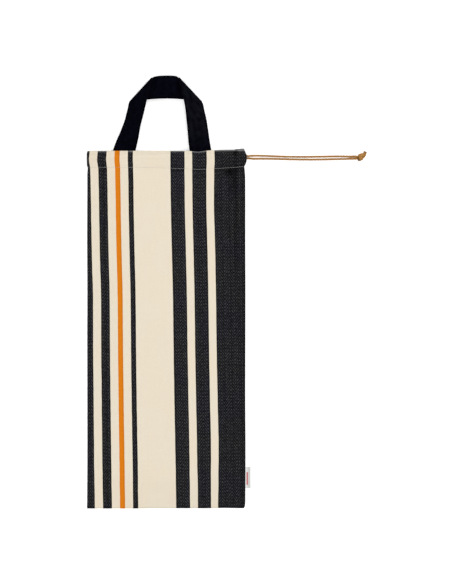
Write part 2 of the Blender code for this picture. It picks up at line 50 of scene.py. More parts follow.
# ---------------------------------------------------------------- sizes shared with the solids
PLY = 1.0
BOTTOM_Y = -412.9
BODY_STACK, BOTTOM_STACK, STITCH_STACK = 13.2, 3.4, 14.4
SEAM_RADIUS, SEAM_ALLOWANCE, HEM_TURN = 1.6, 4.0, 2.5
CORD_D = 3.0
TUNNEL = CORD_D + 0.8
CORD_Y_FRONT, CORD_Y_BACK = 260.6, 254.9
SIDE_INNER = 0.8
TOP_ROOM, STITCH_ROOM = 0.6, 0.3
SWELL = 4.6
TAPE_WIDTH, TAPE_THICK = 42.1, 1.6
FOLD_RADIUS = 2.6
FOLD_TURN = (48.0, -75.0)
LABEL_X0, LABEL_X1, LABEL_Y0, LABEL_Y1 = 145.8, 156.3, -374.4, -334.0
LABEL_PLY, LABEL_GAP = 0.6, 0.4
KNOT_FACE = 360.5

# ---------------------------------------------------------------- detail of the looks
PANEL = 108  # columns across the front, and across the back
ARC = [0.0, 15.0, 30.0, 45.0, 60.0, 75.0, 90.0]  # columns round a side's edge, in degrees
INSET = 8.5  # where a side's edge passes into the flat of the cloth
BODY_Y = [-411.9, -409.8, -407.2, -404.0, -400.0, -395.5, -390.5]
BODY_Y += list(np.arange(-385.0, 213.0, 5.6)) + [216.5, 220.5, 224.3, 228.0]


class Table:
    """Smooth reading of a table's columns against its first one."""

    def __init__(self, rows):
        a = np.array(rows, float)
        self.x, self.y = a[:, 0], a[:, 1:]
        slope = np.diff(self.y, axis=0) / np.diff(self.x)[:, None]
        p, q = slope[:-1], slope[1:]
        same = p * q > 0
        middle = np.where(same, 2 * p * q / np.where(same, p + q, 1.0), 0.0)
        self.m = np.vstack([slope[:1], middle, slope[-1:]])

    def __call__(self, at, k=0):
        at = np.clip(np.asarray(at, float), self.x[0], self.x[-1])
        j = np.clip(np.searchsorted(self.x, at) - 1, 0, len(self.x) - 2)
        h = self.x[j + 1] - self.x[j]
        t = (at - self.x[j]) / h
        return (
            (2 * t**3 - 3 * t**2 + 1) * self.y[j, k] + (t**3 - 2 * t**2 + t) * self.m[j, k] * h
            + (-2 * t**3 + 3 * t**2) * self.y[j + 1, k] + (t**3 - t**2) * self.m[j + 1, k] * h
        )


# columns x, y of the casing's top edge, and of its stitch line
TOP_EDGE = Table([
    (-156.0, 269.8), (-66.0, 269.8), (20.0, 269.7), (42.0, 269.1), (55.0, 267.9), (71.0, 270.0),
    (94.0, 271.3), (113.0, 271.85), (123.5, 272.1), (126.8, 272.8), (129.5, 273.55), (136.5, 273.7), (139.5, 274.3), (148.0, 274.4),
])
STITCH = Table([
    (-156.0, 238.1), (-70.0, 238.1), (16.0, 236.2), (58.0, 234.4),
    (94.0, 236.2), (124.0, 238.1), (148.0, 240.3),
])
# the front's top edge drops below the back's beside the slit: columns x, drop
FRONT_DROP = Table([(-156.0, 0.0), (122.0, 0.0), (128.0, 0.15), (130.0, 1.2), (132.8, 2.4), (144.0, 2.6), (148.0, 2.5)])
# columns y, left x, right x
SIDES = Table([
    (-412.9, -156.0, 143.1), (-409.5, -156.5, 145.5), (-400.0, -156.3, 146.4),
    (-300.0, -155.8, 146.8), (-200.0, -155.9, 146.3), (-100.0, -156.0, 146.5),
    (0.0, -155.8, 146.7), (100.0, -156.2, 146.4), (200.0, -155.9, 146.4),
    (222.0, -155.9, 146.2), (231.0, -155.8, 145.5), (236.5, -155.3, 145.1),
    (239.6, -155.9, 144.6), (243.0, -156.6, 146.1), (248.0, -156.6, 147.9),
    (254.0, -156.6, 149.0), (259.5, -156.6, 149.3), (264.5, -156.5, 147.4),
    (269.0, -155.9, 145.4), (273.0, -155.5, 144.1),
])
# columns y, height over the middle, edge radius
STACKS = Table([
    (-411.9, BOTTOM_STACK, 1.5), (-404.0, 5.0, 1.6), (-385.0, 8.4, SEAM_RADIUS),
    (-345.0, BODY_STACK, SEAM_RADIUS), (205.0, BODY_STACK, SEAM_RADIUS),
    (222.0, 13.5, 1.9), (231.0, 14.0, 2.6), (236.0, STITCH_STACK, 2.9),
])
# underside of the front casing: columns distance from the cord, over the middle, at the slit
LEVELS = Table([
    (-24.0, 12.2, 2.9), (-15.0, 12.2, 4.3), (-10.3, 12.15, 5.3), (-7.6, 12.15, 6.6),
    (-4.6, 12.15, 6.7), (4.6, 12.15, 6.7), (9.0, 12.1, 6.2), (20.0, 12.1, 6.2),
])
# casing rows: columns reference, place, room in the tunnel.  Reference 0 counts the place as
# a share of the way from the stitch line to the swell, 1 as a distance from the cord, and
# 2 as a share of the way from the swell to the top edge
CASING = [
    (0, 0.14, 0.50), (0, 0.32, 0.85), (0, 0.50, 1.25), (0, 0.68, 1.75), (0, 0.85, 2.3),
    (1, -4.6, 2.85), (1, -3.2, 3.4), (1, -1.7, 3.78), (1, 0.0, 3.86), (1, 1.7, 3.74),
    (1, 3.2, 3.3), (1, 4.6, 2.7), (2, 0.22, 2.1), (2, 0.5, 1.45), (2, 0.78, 0.95),
]

LEG_LEFT = [
    (-94.2, 239.5, 3.6, 15.0, 0.0), (-92.0, 247.5, 5.3, 16.0, 0.0),
    (-89.2, 257.0, 6.95, 17.0, 0.0), (-87.4, 263.5, 6.5, 17.5, 0.0),
    (-85.5, 269.5, 5.8, 17.7, 0.0), (-82.8, 277.2, 7.6, 17.7, 7.0),
    (-79.0, 288.7, 12.6, 18.0, 21.0), (-75.1, 300.2, 16.6, 17.5, 29.0),
    (-71.9, 311.6, 18.6, 16.5, 35.6), (-68.7, 323.1, 19.6, 15.7, 40.0),
    (-65.8, 334.6, 20.0, 15.0, 40.0), (-62.9, 346.0, 20.0, 14.5, 40.0),
    (-60.3, 357.5, 19.5, 14.5, 40.0),
]
LEG_RIGHT = [
    (64.4, 239.5, 3.6, 7.0, 0.0), (63.4, 247.5, 5.3, 7.5, 0.0),
    (62.2, 257.0, 6.95, 8.0, 0.0), (61.3, 263.5, 6.5, 8.0, 0.0),
    (60.5, 269.5, 5.8, 8.0, 0.0), (59.4, 277.2, 7.4, 8.0, 7.0),
    (57.7, 288.7, 10.6, 7.5, 15.0), (56.4, 300.2, 13.0, 7.0, 18.5),
    (55.1, 311.6, 14.6, 7.2, 21.5), (53.7, 323.1, 15.8, 7.8, 24.0),
    (51.9, 334.6, 16.8, 9.0, 28.0), (50.0, 346.0, 17.4, 9.8, 32.0),
    (48.0, 357.5, 17.6, 10.2, 35.0),
]
IN_MOUTH = Table([
    (230.0, 3.75), (243.0, 3.85), (247.8, 5.3), (251.2, 7.05), (259.8, 7.05),
    (264.0, 6.0), (270.0, 5.4), (280.0, 5.4),
])
FOLD_LEFT = [(-75.1, 363.3, 4.2), (-32.5, 409.2, 16.0)]
FOLD_RIGHT = [(63.5, 363.1, 4.2), (19.5, 409.7, 15.5)]
BAR_LOW = [
    (-60.0, 365.5, 3.9), (-45.0, 367.2, 7.6), (-30.0, 368.4, 10.8),
    (-4.0, 369.4, 12.8), (22.0, 368.3, 10.8), (36.0, 367.0, 7.6), (50.0, 365.2, 3.9),
]
BAR_HIGH = [
    (-29.0, 410.6, 13.6), (-22.0, 412.4, 13.8), (-5.0, 413.3, 13.9), (8.0, 413.0, 13.7),
    (15.4, 411.7, 13.4),
]

RUN_FRONT = [
    (151.2, 259.5, 9.25), (155.4, 259.95, 8.45), (160.5, 260.3, 7.3), (168.0, 260.5, 5.3), (182.0, 260.3, 2.5), (200.0, 259.6, 1.6),
    (228.0, 258.7, 1.56), (254.0, 258.4, 1.56), (290.0, 258.8, 1.56), (320.0, 259.3, 1.56),
    (336.0, 259.2, 1.6), (347.0, 258.9, 1.7), (355.5, 259.1, 2.1),
]
RUN_BACK = [
    (151.2, 255.7, 2.6), (155.4, 255.2, 2.3), (160.5, 254.65, 2.1), (168.0, 254.6, 1.75), (182.0, 254.7, 1.6), (200.0, 254.4, 1.56),
    (228.0, 253.7, 1.56), (254.0, 253.1, 1.56), (290.0, 253.2, 1.56), (320.0, 253.9, 1.56),
    (336.0, 254.2, 1.56), (347.0, 254.7, 1.7), (355.5, 255.0, 2.1),
]

# stripes across the cloth: where each black one lies, and the orange one with its deeper part
BLACK_STRIPES = [(-300.0, -144.6), (-129.4, -112.6), (-72.9, -63.2), (8.0, 34.8), (49.2, 75.8), (90.1, 300.0)]
ORANGE_STRIPE = (-97.5, -90.6, -87.9)
END, PICK = 1.12, 1.5675  # width of a warp thread and height of a weft thread
CHEVRON = 8  # threads before the twill turns back
CHEVRON_AT = 70.8  # where one of its turns lies
REED = (112.0, 7.75)  # where a reed mark lies, and how far apart they are
# how far the warp has run sideways: columns y, then the shift at u = -147, -74, 21 and 90
WARP_AT = [-147.0, -74.0, 21.0, 90.0]
WARP = Table([
    (-412.0, 3.6, 4.6, 6.3, 4.6), (-350.0, 2.4, 4.2, 5.4, 4.6), (-302.0, 1.8, 3.5, 4.6, 5.0),
    (-206.0, 1.0, 2.0, 2.8, 3.1), (-111.0, 0.2, 0.8, 1.2, 1.3), (-15.0, 0.0, 0.0, 0.0, 0.0),
    (80.0, -2.6, -2.1, -2.2, -1.6), (176.0, -4.1, -3.9, -4.3, -3.9),
    (222.0, -5.1, -4.4, -4.8, -3.6), (233.0, -5.2, -4.7, -5.0, -3.7),
    (245.0, -7.2, -5.1, -4.8, -2.7), (252.0, -8.1, -5.5, -4.85, -2.6),
    (266.0, -6.9, -5.3, -5.0, -2.9), (274.0, -6.7, -5.2, -5.0, -2.9),
])


def ease(t):
    t = np.clip(t, 0.0, 1.0)
    return t * t * (3 - 2 * t)


def through(points, per=12):
    """Dense centripetal curve through points."""
    p = np.array(points, float)
    p = np.vstack([2 * p[0] - p[1], p, 2 * p[-1] - p[-2]])
    out = []
    for a, b, c, d in zip(p[:-3], p[1:-2], p[2:-1], p[3:]):
        t1 = max(np.linalg.norm(b - a), 1e-6) ** 0.5
        t2 = t1 + max(np.linalg.norm(c - b), 1e-6) ** 0.5
        t3 = t2 + max(np.linalg.norm(d - c), 1e-6) ** 0.5
        for k in range(per):
            t = t1 + (t2 - t1) * k / per
            a1 = (t1 - t) / t1 * a + t / t1 * b
            a2 = (t2 - t) / (t2 - t1) * b + (t - t1) / (t2 - t1) * c
            a3 = (t3 - t) / (t3 - t2) * c + (t - t2) / (t3 - t2) * d
            b1 = (t2 - t) / t2 * a1 + t / t2 * a2
            b2 = (t3 - t) / (t3 - t1) * a2 + (t - t1) / (t3 - t1) * a3
            out.append((t2 - t) / (t2 - t1) * b1 + (t - t1) / (t2 - t1) * b2)
    out.append(p[-2])
    return np.array(out)


def arc_lengths(curve):
    steps = np.linalg.norm(np.diff(curve, axis=0), axis=1)
    return np.concatenate([[0.0], np.cumsum(steps)])


def at_length(curve, s):
    lengths = arc_lengths(curve)
    s = np.clip(s, 0.0, lengths[-1])
    return np.array([np.interp(s, lengths, curve[:, k]) for k in range(3)]).T


def smooth_noise(x, y, size_x, size_y, seed):
    """Noise from -1 to 1 over the plane, with blobs of about that size."""
    return np.array([
        noise.noise(Vector((a / size_x, b / size_y, seed * 7.31)))
        for a, b in zip(np.ravel(x), np.ravel(y))
    ]).reshape(np.shape(x))


# ---------------------------------------------------------------- node helpers
class Shader:
    """A material with one Principled BSDF, and short ways to wire nodes into it."""

    def __init__(self, name, roughness, specular=0.3, sheen=0.0):
        self.mat = bpy.data.materials.new(name)
        self.mat.use_nodes = True
        self.tree = self.mat.node_tree
        self.bsdf = self.tree.nodes["Principled BSDF"]
        self.bsdf.inputs["Roughness"].default_value = roughness
        self.bsdf.inputs["Specular IOR Level"].default_value = specular
        if sheen:
            self.bsdf.inputs["Sheen Weight"].default_value = sheen
            self.bsdf.inputs["Sheen Roughness"].default_value = 0.6

    def put(self, socket, value):
        if isinstance(value, bpy.types.NodeSocket):
            self.tree.links.new(value, socket)
        else:
            socket.default_value = value

    def math(self, op, a, b=None, c=None):
        node = self.tree.nodes.new("ShaderNodeMath")
        node.operation = op
        for socket, value in zip(node.inputs, (a, b, c)):
            if value is not None:
                self.put(socket, value)
        return node.outputs[0]

    def wave(self, phase):
        """From -1 to 1, once for each whole number of phase."""
        return self.math("COSINE", self.math("MULTIPLY", phase, 2 * math.pi))

    def step(self, value, low, high):
        node = self.tree.nodes.new("ShaderNodeMapRange")
        node.interpolation_type = "SMOOTHSTEP"
        self.put(node.inputs["Value"], value)
        node.inputs["From Min"].default_value = low
        node.inputs["From Max"].default_value = high
        return node.outputs[0]

    def uv(self, layer):
        node = self.tree.nodes.new("ShaderNodeUVMap")
        node.uv_map = layer
        split = self.tree.nodes.new("ShaderNodeSeparateXYZ")
        self.tree.links.new(node.outputs[0], split.inputs[0])
        return self.math("MULTIPLY", split.outputs[0], 1000.0), self.math("MULTIPLY", split.outputs[1], 1000.0)

    def attribute(self, name):
        node = self.tree.nodes.new("ShaderNodeAttribute")
        node.attribute_name = name
        return node.outputs["Fac"]

    def grain(self, x, y, size_x, size_y, detail=2.0, seed=0.0):
        """Noise from 0 to 1 over x and y, stretched to those sizes."""
        join = self.tree.nodes.new("ShaderNodeCombineXYZ")
        self.put(join.inputs[0], self.math("DIVIDE", x, size_x))
        self.put(join.inputs[1], self.math("DIVIDE", y, size_y))
        join.inputs[2].default_value = seed
        node = self.tree.nodes.new("ShaderNodeTexNoise")
        node.inputs["Scale"].default_value = 1.0
        node.inputs["Detail"].default_value = detail
        self.tree.links.new(join.outputs[0], node.inputs["Vector"])
        return node.outputs[0]

    def dice(self, a, b):
        """A random number from 0 to 1 for each pair of whole numbers."""
        join = self.tree.nodes.new("ShaderNodeCombineXYZ")
        self.put(join.inputs[0], a)
        self.put(join.inputs[1], b)
        node = self.tree.nodes.new("ShaderNodeTexWhiteNoise")
        node.noise_dimensions = "2D"
        self.tree.links.new(join.outputs[0], node.inputs["Vector"])
        return node.outputs["Value"]

    def mix(self, factor, a, b, kind="MIX"):
        node = self.tree.nodes.new("ShaderNodeMix")
        node.data_type = "RGBA"
        node.blend_type = kind
        self.put(node.inputs[0], factor)
        for socket, value in ((node.inputs[6], a), (node.inputs[7], b)):
            self.put(socket, (*value, 1.0) if isinstance(value, tuple) else value)
        return node.outputs[2]

    def shade(self, colour, factor):
        """The colour times a grey factor."""
        join = self.tree.nodes.new("ShaderNodeCombineXYZ")
        for socket in join.inputs:
            self.put(socket, factor)
        return self.mix(1.0, colour, join.outputs[0], "MULTIPLY")

    def bump(self, height, distance, strength=1.0):
        node = self.tree.nodes.new("ShaderNodeBump")
        node.inputs["Strength"].default_value = strength
        node.inputs["Distance"].default_value = distance
        self.put(node.inputs["Height"], height)
        self.tree.links.new(node.outputs[0], self.bsdf.inputs["Normal"])

    def colour(self, value):
        self.put(self.bsdf.inputs["Base Color"], value)


def srgb(r, g, b):
    """A colour given as display values, as the shader takes it."""
    return tuple(((v / 255 + 0.055) / 1.055) ** 2.4 if v > 10 else v / 255 / 12.92 for v in (r, g, b))


LIGHT = 1.10  # how bright a white thing lying flat comes out; colours are divided by it


def seen(r, g, b, lift=1.0):
    """The base colour that comes out as this display colour when it lies flat."""
    return tuple(v * lift / LIGHT for v in srgb(r, g, b))


# ---------------------------------------------------------------- materials
def striped_linen():
    s = Shader("striped_linen", 0.92, specular=0.03)
    u, v = s.uv("cloth")
    reverse, crest, painted_shade = s.attribute("reverse"), s.attribute("crest"), s.attribute("painted_shade")
    # every warp end and weft pick has its number; the twill turns back every CHEVRON ends
    base_u = 37 * CHEVRON * END - CHEVRON_AT
    ends = s.math("DIVIDE", s.math("ADD", u, base_u), END)
    picks = s.math("DIVIDE", v, PICK)
    i, fu = s.math("FLOOR", ends), s.math("FRACT", ends)
    j, fv = s.math("FLOOR", picks), s.math("FRACT", picks)
    turn = s.math("PINGPONG", i, float(CHEVRON))
    shed = s.math("FLOORED_MODULO", s.math("ADD", j, turn), 4.0)
    float_up = s.math("LESS_THAN", shed, 0.5)
    du = s.math("ABSOLUTE", s.math("SUBTRACT", fu, 0.5))
    dv = s.math("ABSOLUTE", s.math("SUBTRACT", fv, 0.5))
    dot = s.math("MULTIPLY", s.step(du, 0.52, 0.34), s.step(dv, 0.50, 0.30))
    pick_up = s.math("MULTIPLY", float_up, dot)
    each, by_end, by_pick = s.dice(i, j), s.dice(i, 3.0), s.dice(7.0, j)
    # of four picks one lies proudest, and the two beside it lie lowest
    fourth = s.wave(s.math("DIVIDE", s.math("FLOORED_MODULO", j, 4.0), 4.0))
    proud = s.math("MULTIPLY_ADD", fourth, 0.50, s.math("MULTIPLY_ADD", s.math("MULTIPLY", fourth, fourth), 0.30, 0.85))
    reed = s.math("MULTIPLY_ADD", s.wave(s.math("DIVIDE", s.math("SUBTRACT", u, REED[0] - REED[1] / 2), REED[1])), 0.16, 1.0)
    reed = s.math("MULTIPLY_ADD", s.wave(s.math("DIVIDE", u, 2.05 * REED[1])), 0.05, reed)

    # the stripes, with a slight waver where their last threads lie
    waver = s.math("MULTIPLY", s.math("SUBTRACT", s.grain(u, v, 40.0, 26.0, 1.0, 3.0), 0.5), 0.7)
    at = s.math("ADD", u, waver)

    def band(low, high):
        return s.math("MULTIPLY", s.math("GREATER_THAN", at, low), s.math("LESS_THAN", at, high))

    black, inner = None, None
    for low, high in BLACK_STRIPES:
        whole, core = band(low, high), band(low + END, high - END)
        black = whole if black is None else s.math("ADD", black, whole)
        inner = core if inner is None else s.math("ADD", inner, core)
    rim = s.math("SUBTRACT", black, inner)
    orange, deep = band(ORANGE_STRIPE[0], ORANGE_STRIPE[2]), band(ORANGE_STRIPE[1], ORANGE_STRIPE[2])

    cloud = s.grain(u, v, 55.0, 80.0, 2.0, 40.0)
    blot = s.grain(u, v, 7.0, 9.0, 2.0, 21.0)
    # black warp over a grey weft that shows as one dot in four; the yarns are uneven
    fleck = s.grain(u, v, 2.6, 3.4, 1.0, 11.0)
    fibre = s.grain(u, v, 0.30, 1.6, 2.0, 14.0)
    uneven = s.math("MULTIPLY", s.math("MULTIPLY_ADD", fleck, 2.6, -0.3), s.math("MULTIPLY_ADD", blot, 1.0, 0.5))
    uneven = s.math("MULTIPLY", uneven, s.math("MULTIPLY_ADD", by_end, 0.5, 0.75))
    uneven = s.math("MULTIPLY", s.math("MINIMUM", uneven, 1.30), reed)
    # little places where the yarn took the dye more deeply
    deep_dye = s.step(s.grain(u, v, 1.5, 1.9, 0.0, 33.0), 0.47, 0.36)
    uneven = s.math("MULTIPLY", uneven, s.math("MULTIPLY_ADD", deep_dye, -0.7, 1.17))
    # the stripes left of the wide right one come out a little lighter
    uneven = s.math("MULTIPLY", uneven, s.math("MULTIPLY_ADD", s.step(u, 88.0, 78.0), 0.16, 0.97))
    # painted shade darkens the black cloth in hollows, along its edges and beside the stitch line
    painted_darkening = s.math("MULTIPLY_ADD", painted_shade, -0.85, 1.0)
    light = s.math("MULTIPLY", s.math("MULTIPLY_ADD", each, 0.6, 0.70), s.math("MULTIPLY_ADD", by_pick, 0.4, 0.80))
    light = s.math("MULTIPLY", light, s.math("MULTIPLY", proud, s.math("MULTIPLY_ADD", uneven, 0.8, 0.2)))
    light = s.math("MULTIPLY", s.math("MINIMUM", light, 1.9), s.math("MULTIPLY", painted_darkening, s.math("MULTIPLY_ADD", rim, -0.6, 1.0)))
    # a pick is two plies side by side, an end is one round yarn; each gets a painted highlight along its middle and
    # painted shade at its sides and between the plies, over uneven fibre tone
    ply_light_and_fibre = s.math("MULTIPLY_ADD", s.wave(s.math("MULTIPLY_ADD", fv, 2.0, 0.5)), 0.28, s.math("MULTIPLY_ADD", fibre, 0.8, 0.6))
    light = s.math("MULTIPLY", light, ply_light_and_fibre)
    end_light_and_fibre = s.math("MULTIPLY_ADD", s.wave(s.math("SUBTRACT", fu, 0.5)), 0.30, s.math("MULTIPLY_ADD", fibre, 0.9, 0.55))
    warp = s.mix(s.step(cloud, 0.38, 0.64), seen(24, 24, 25), seen(22, 22, 28))
    warp = s.mix(rim, warp, seen(25, 21, 18))
    warp = s.shade(warp, s.math("MULTIPLY", s.math("MULTIPLY", uneven, painted_darkening), end_light_and_fibre))
    weft = s.mix(each, seen(67, 68, 72), seen(74, 74, 75))
    face = s.mix(s.math("MULTIPLY", pick_up, 1.0), warp, s.shade(weft, light))
    back = s.mix(s.math("MULTIPLY", s.math("SUBTRACT", 1.0, float_up), dot), seen(40, 38, 40), s.shade(seen(150, 143, 130), ply_light_and_fibre))
    black_cloth = s.mix(reverse, face, back)
    # wear and a painted highlight: along the crest of the fold at the mouth each thread turns pale grey
    worn_lit_edge = s.shade(seen(158, 159, 158), s.math("MULTIPLY_ADD", fleck, 0.8, 0.6))
    rubbed_and_lit = s.math("MULTIPLY_ADD", s.wave(s.math("SUBTRACT", fu, 0.5)), 0.24, s.math("MULTIPLY_ADD", fibre, 0.9, 0.25))
    black_cloth = s.mix(s.math("MULTIPLY", crest, rubbed_and_lit), black_cloth, worn_lit_edge)

    slub_warp = s.grain(u, v, 1.7, 90.0, 2.0, 5.0)
    slub_weft = s.grain(u, v, 80.0, 1.9, 2.0, 6.0)
    tone = s.math("ADD", s.math("MULTIPLY", slub_warp, 0.035), s.math("MULTIPLY", slub_weft, 0.035))
    tone = s.math("ADD", tone, s.math("MULTIPLY", s.math("SUBTRACT", each, 0.5), 0.03))
    # painted shade: on the ecru the weft's floats come out a little darker
    tone = s.math("ADD", tone, s.math("MULTIPLY", pick_up, -0.03))
    tone = s.math("ADD", tone, 0.972)
    ecru = s.mix(s.step(cloud, 0.35, 0.65), seen(234, 221, 200), seen(232, 222, 202))
    # a trace of the same painted shade on the ecru
    ecru = s.shade(ecru, s.math("ADD", tone, s.math("MULTIPLY", painted_shade, -0.03)))
    amber = s.mix(deep, seen(219, 124, 24), seen(207, 119, 24))
    amber = s.shade(amber, s.math("MULTIPLY_ADD", pick_up, 0.08, s.math("MULTIPLY_ADD", s.math("SUBTRACT", each, 0.5), 0.08, tone)))

    base = s.mix(orange, ecru, amber)
    s.colour(s.mix(black, base, black_cloth))
    # ends stand round over the picks that pass under them
    round_u = s.math("SUBTRACT", 1.0, s.math("MULTIPLY", s.math("MULTIPLY", du, du), 4.0))
    round_v = s.math("SUBTRACT", 1.0, s.math("MULTIPLY", s.math("MULTIPLY", dv, dv), 4.0))
    height = s.math("MULTIPLY", round_u, s.math("SUBTRACT", 1.0, s.math("MULTIPLY", pick_up, 0.9)))
    height = s.math("ADD", height, s.math("MULTIPLY", s.math("MULTIPLY", float_up, round_v), 0.7))
    height = s.math("ADD", height, s.math("MULTIPLY", s.math("ADD", slub_warp, slub_weft), 0.6))
    s.bump(height, 0.00022, 0.7)
    return s.mat


def black_tape():
    s = Shader("black_tape", 0.82, specular=0.006)
    u, v = s.uv("tape")
    # fine herringbone of a woven tape, with firmer edges
    column = s.math("PINGPONG", s.math("ADD", u, 100.0), 5.0)
    line = s.wave(s.math("DIVIDE", s.math("ADD", v, column), 1.9))
    rib = s.wave(s.math("DIVIDE", v, 0.95))
    cell = s.grain(u, v, 1.2, 1.2, 2.0, 1.0)
    broad = s.grain(u, v, 30.0, 45.0, 2.0, 5.0)
    lift = s.math("ADD", s.math("MULTIPLY", s.step(line, -0.2, 1.0), 0.55), s.math("MULTIPLY", cell, 0.5))
    lift = s.math("MULTIPLY", lift, s.math("MULTIPLY_ADD", broad, 1.0, 0.35))
    edge = s.step(s.math("ABSOLUTE", u), 16.5, 19.4)
    # painted light: the right leg is greyer and lighter than the bluer rest, most of all in its upper part, as if
    # turned towards the light
    lit_leg = s.math("MULTIPLY", s.step(v, 254.0, 272.0), s.math("MULTIPLY_ADD", s.step(v, 384.0, 330.0), 0.75, 0.25))
    patch = s.grain(u, v, 9.0, 11.0, 3.0, 8.0)
    lift = s.math("MULTIPLY", lift, s.math("MULTIPLY_ADD", s.step(patch, 0.3, 0.7), 1.1, 0.35))
    # painted shade: the bar is darker where it comes out of each fold, in the shade of the leg over it
    fold = s.math("ADD", s.step(v, 170.0, 163.0), s.math("MULTIPLY", s.step(v, 241.0, 250.0), s.step(v, 256.5, 254.5)))
    fold = s.math("MULTIPLY", fold, s.step(v, 160.0, 161.5))
    lift = s.math("MULTIPLY", lift, s.math("MULTIPLY_ADD", fold, -0.75, 1.0))
    base = s.mix(lift, seen(2, 2, 6), s.mix(lit_leg, seen(13, 14, 26), seen(26, 27, 34)))
    # the tape's very rim is paler: wear, and a painted highlight where the rolled edge catches the light
    worn_lit_edge = s.step(s.math("ABSOLUTE", u), 20.4, 20.9)
    base = s.mix(s.math("MULTIPLY", s.math("SUBTRACT", edge, worn_lit_edge), 0.6), base, seen(2, 2, 4))
    base = s.mix(s.math("MULTIPLY", worn_lit_edge, 0.35), base, seen(22, 22, 28))
    s.colour(base)
    height = s.math("ADD", s.math("MULTIPLY", line, 0.4), s.math("MULTIPLY", rib, 0.3))
    height = s.math("ADD", height, s.math("MULTIPLY", edge, 0.5))
    s.bump(height, 0.00025, 0.8)
    return s.mat


def tan_cord():
    s = Shader("tan_cord", 0.82, specular=0.08)
    u, v = s.uv("cord")  # u counts the strands, v runs along
    lobe = s.attribute("lobe")
    fibre = s.grain(u, v, 0.10, 5.0, 2.0, 4.0)
    patch = s.grain(u, v, 2.0, 6.0, 2.0, 9.0)
    ply = s.wave(s.math("ADD", s.math("MULTIPLY", u, 3.0), s.math("DIVIDE", v, 1.3)))
    grime_and_shade = s.attribute("grime_and_shade")
    painted_light = s.attribute("painted_light")
    # painted shade: the cord is darker in the valleys between its strands, lighter on their crowns
    base = s.mix(s.step(lobe, 0.1, 0.85), seen(102, 62, 22), seen(187, 137, 73))
    base = s.mix(s.math("MULTIPLY", s.step(patch, 0.5, 0.8), 0.5), base, seen(200, 156, 102))
    tone = s.math("ADD", s.math("MULTIPLY", fibre, 0.4), s.math("MULTIPLY", s.math("MULTIPLY_ADD", ply, 0.5, 0.5), 0.16))
    # painted light: the knot's cord is made lighter and less orange
    base = s.shade(base, s.math("MULTIPLY_ADD", painted_light, 0.34, 1.0))
    base = s.mix(painted_light, base, (0.88, 0.92, 1.0), "MULTIPLY")
    # grime, and painted shade in the knot's folds and under it, darken the cord towards dark brown
    base = s.mix(grime_and_shade, base, seen(76, 40, 8))
    s.colour(s.shade(base, s.math("ADD", tone, 0.74)))
    s.bump(s.math("ADD", s.math("MULTIPLY", ply, 0.5), fibre), 0.0002, 0.7)
    return s.mat


def pale_ribbon():
    s = Shader("pale_ribbon", 0.6, specular=0.25)
    u, v = s.uv("ribbon")  # u from the seam outward, v along the seam
    end = s.wave(s.math("DIVIDE", u, 0.36))
    pick = s.wave(s.math("DIVIDE", v, 0.42))
    weave = s.math("MULTIPLY_ADD", s.math("MULTIPLY", end, pick), 0.5, 0.5)
    base = s.mix(s.step(u, 1.0, 7.0), seen(232, 231, 230), seen(206, 208, 206))
    # one plain woven line along the tab
    across = s.math("ABSOLUTE", s.math("SUBTRACT", u, 4.1))
    along = s.math("ABSOLUTE", s.math("SUBTRACT", v, 18.2))
    line = s.math("MULTIPLY", s.step(across, 1.75, 1.45), s.step(along, 12.4, 11.9))
    thread = s.math("MULTIPLY_ADD", s.wave(s.math("DIVIDE", v, 0.9)), 0.5, 0.5)
    base = s.mix(s.math("MULTIPLY", line, s.math("MULTIPLY_ADD", thread, 0.35, 0.65)), base, seen(190, 66, 74))
    s.colour(s.shade(base, s.math("MULTIPLY_ADD", weave, 0.07, 0.94)))
    s.bump(weave, 0.00012, 0.6)
    return s.mat


def seam_thread():
    s = Shader("seam_thread", 0.7, specular=0.2)
    coords = s.tree.nodes.new("ShaderNodeTexCoord")
    node = s.tree.nodes.new("ShaderNodeTexNoise")
    node.inputs["Scale"].default_value = 900.0
    s.tree.links.new(coords.outputs["Object"], node.inputs["Vector"])
    s.colour(s.mix(node.outputs[0], seen(160, 158, 156), seen(194, 192, 188)))
    s.bump(node.outputs[0], 0.0001, 0.5)
    return s.mat


def pale_floor():
    s = Shader("pale_floor", 0.9, specular=0.0)
    coords = s.tree.nodes.new("ShaderNodeTexCoord")
    node = s.tree.nodes.new("ShaderNodeTexNoise")
    node.inputs["Scale"].default_value = 3.0
    s.tree.links.new(coords.outputs["Object"], node.inputs["Vector"])
    s.colour(s.mix(node.outputs[0], (0.92, 0.92, 0.92), (0.94, 0.94, 0.94)))
    s.bsdf.inputs["Emission Color"].default_value = (1.0, 1.0, 1.0, 1.0)
    s.bsdf.inputs["Emission Strength"].default_value = 0.35
    return s.mat


# ---------------------------------------------------------------- mesh helpers
def build(name, verts, faces, mat, sharp=55.0):
    """A smooth mesh object from points in millimetres."""
    mesh = bpy.data.meshes.new(name)
    mesh.from_pydata((np.asarray(verts, float) * MM).tolist(), [], faces)
    mesh.validate()
    bm = bmesh.new()
    bm.from_mesh(mesh)
    bmesh.ops.recalc_face_normals(bm, faces=bm.faces)
    bm.to_mesh(mesh)
    bm.free()
    mesh.shade_smooth()
    mesh.set_sharp_from_angle(angle=math.radians(sharp))
    obj = bpy.data.objects.new(name, mesh)
    bpy.context.scene.collection.objects.link(obj)
    mesh.materials.append(mat)
    return obj


def give_uv(obj, layer, uv):
    """Sets a UV map from one (u, v) in millimetres for each vertex."""
    mesh = obj.data
    made = mesh.uv_layers.new(name=layer)
    index = np.empty(len(mesh.loops), np.int32)
    mesh.loops.foreach_get("vertex_index", index)
    made.data.foreach_set("uv", (np.asarray(uv, float)[index] * MM).ravel())


def give_value(obj, name, values):
    made = obj.data.attributes.new(name, "FLOAT", "POINT")
    made.data.foreach_set("value", np.asarray(values, np.float32))


# ---------------------------------------------------------------- ring of the bag's cloth
def solid_ring():
    """Share of the way round at which the solids' own columns lie, for the cord's height."""
    inner = 0.5 - 0.5 * np.cos(np.pi * (np.arange(16) + 0.5) / 16)
    return inner, 44.0


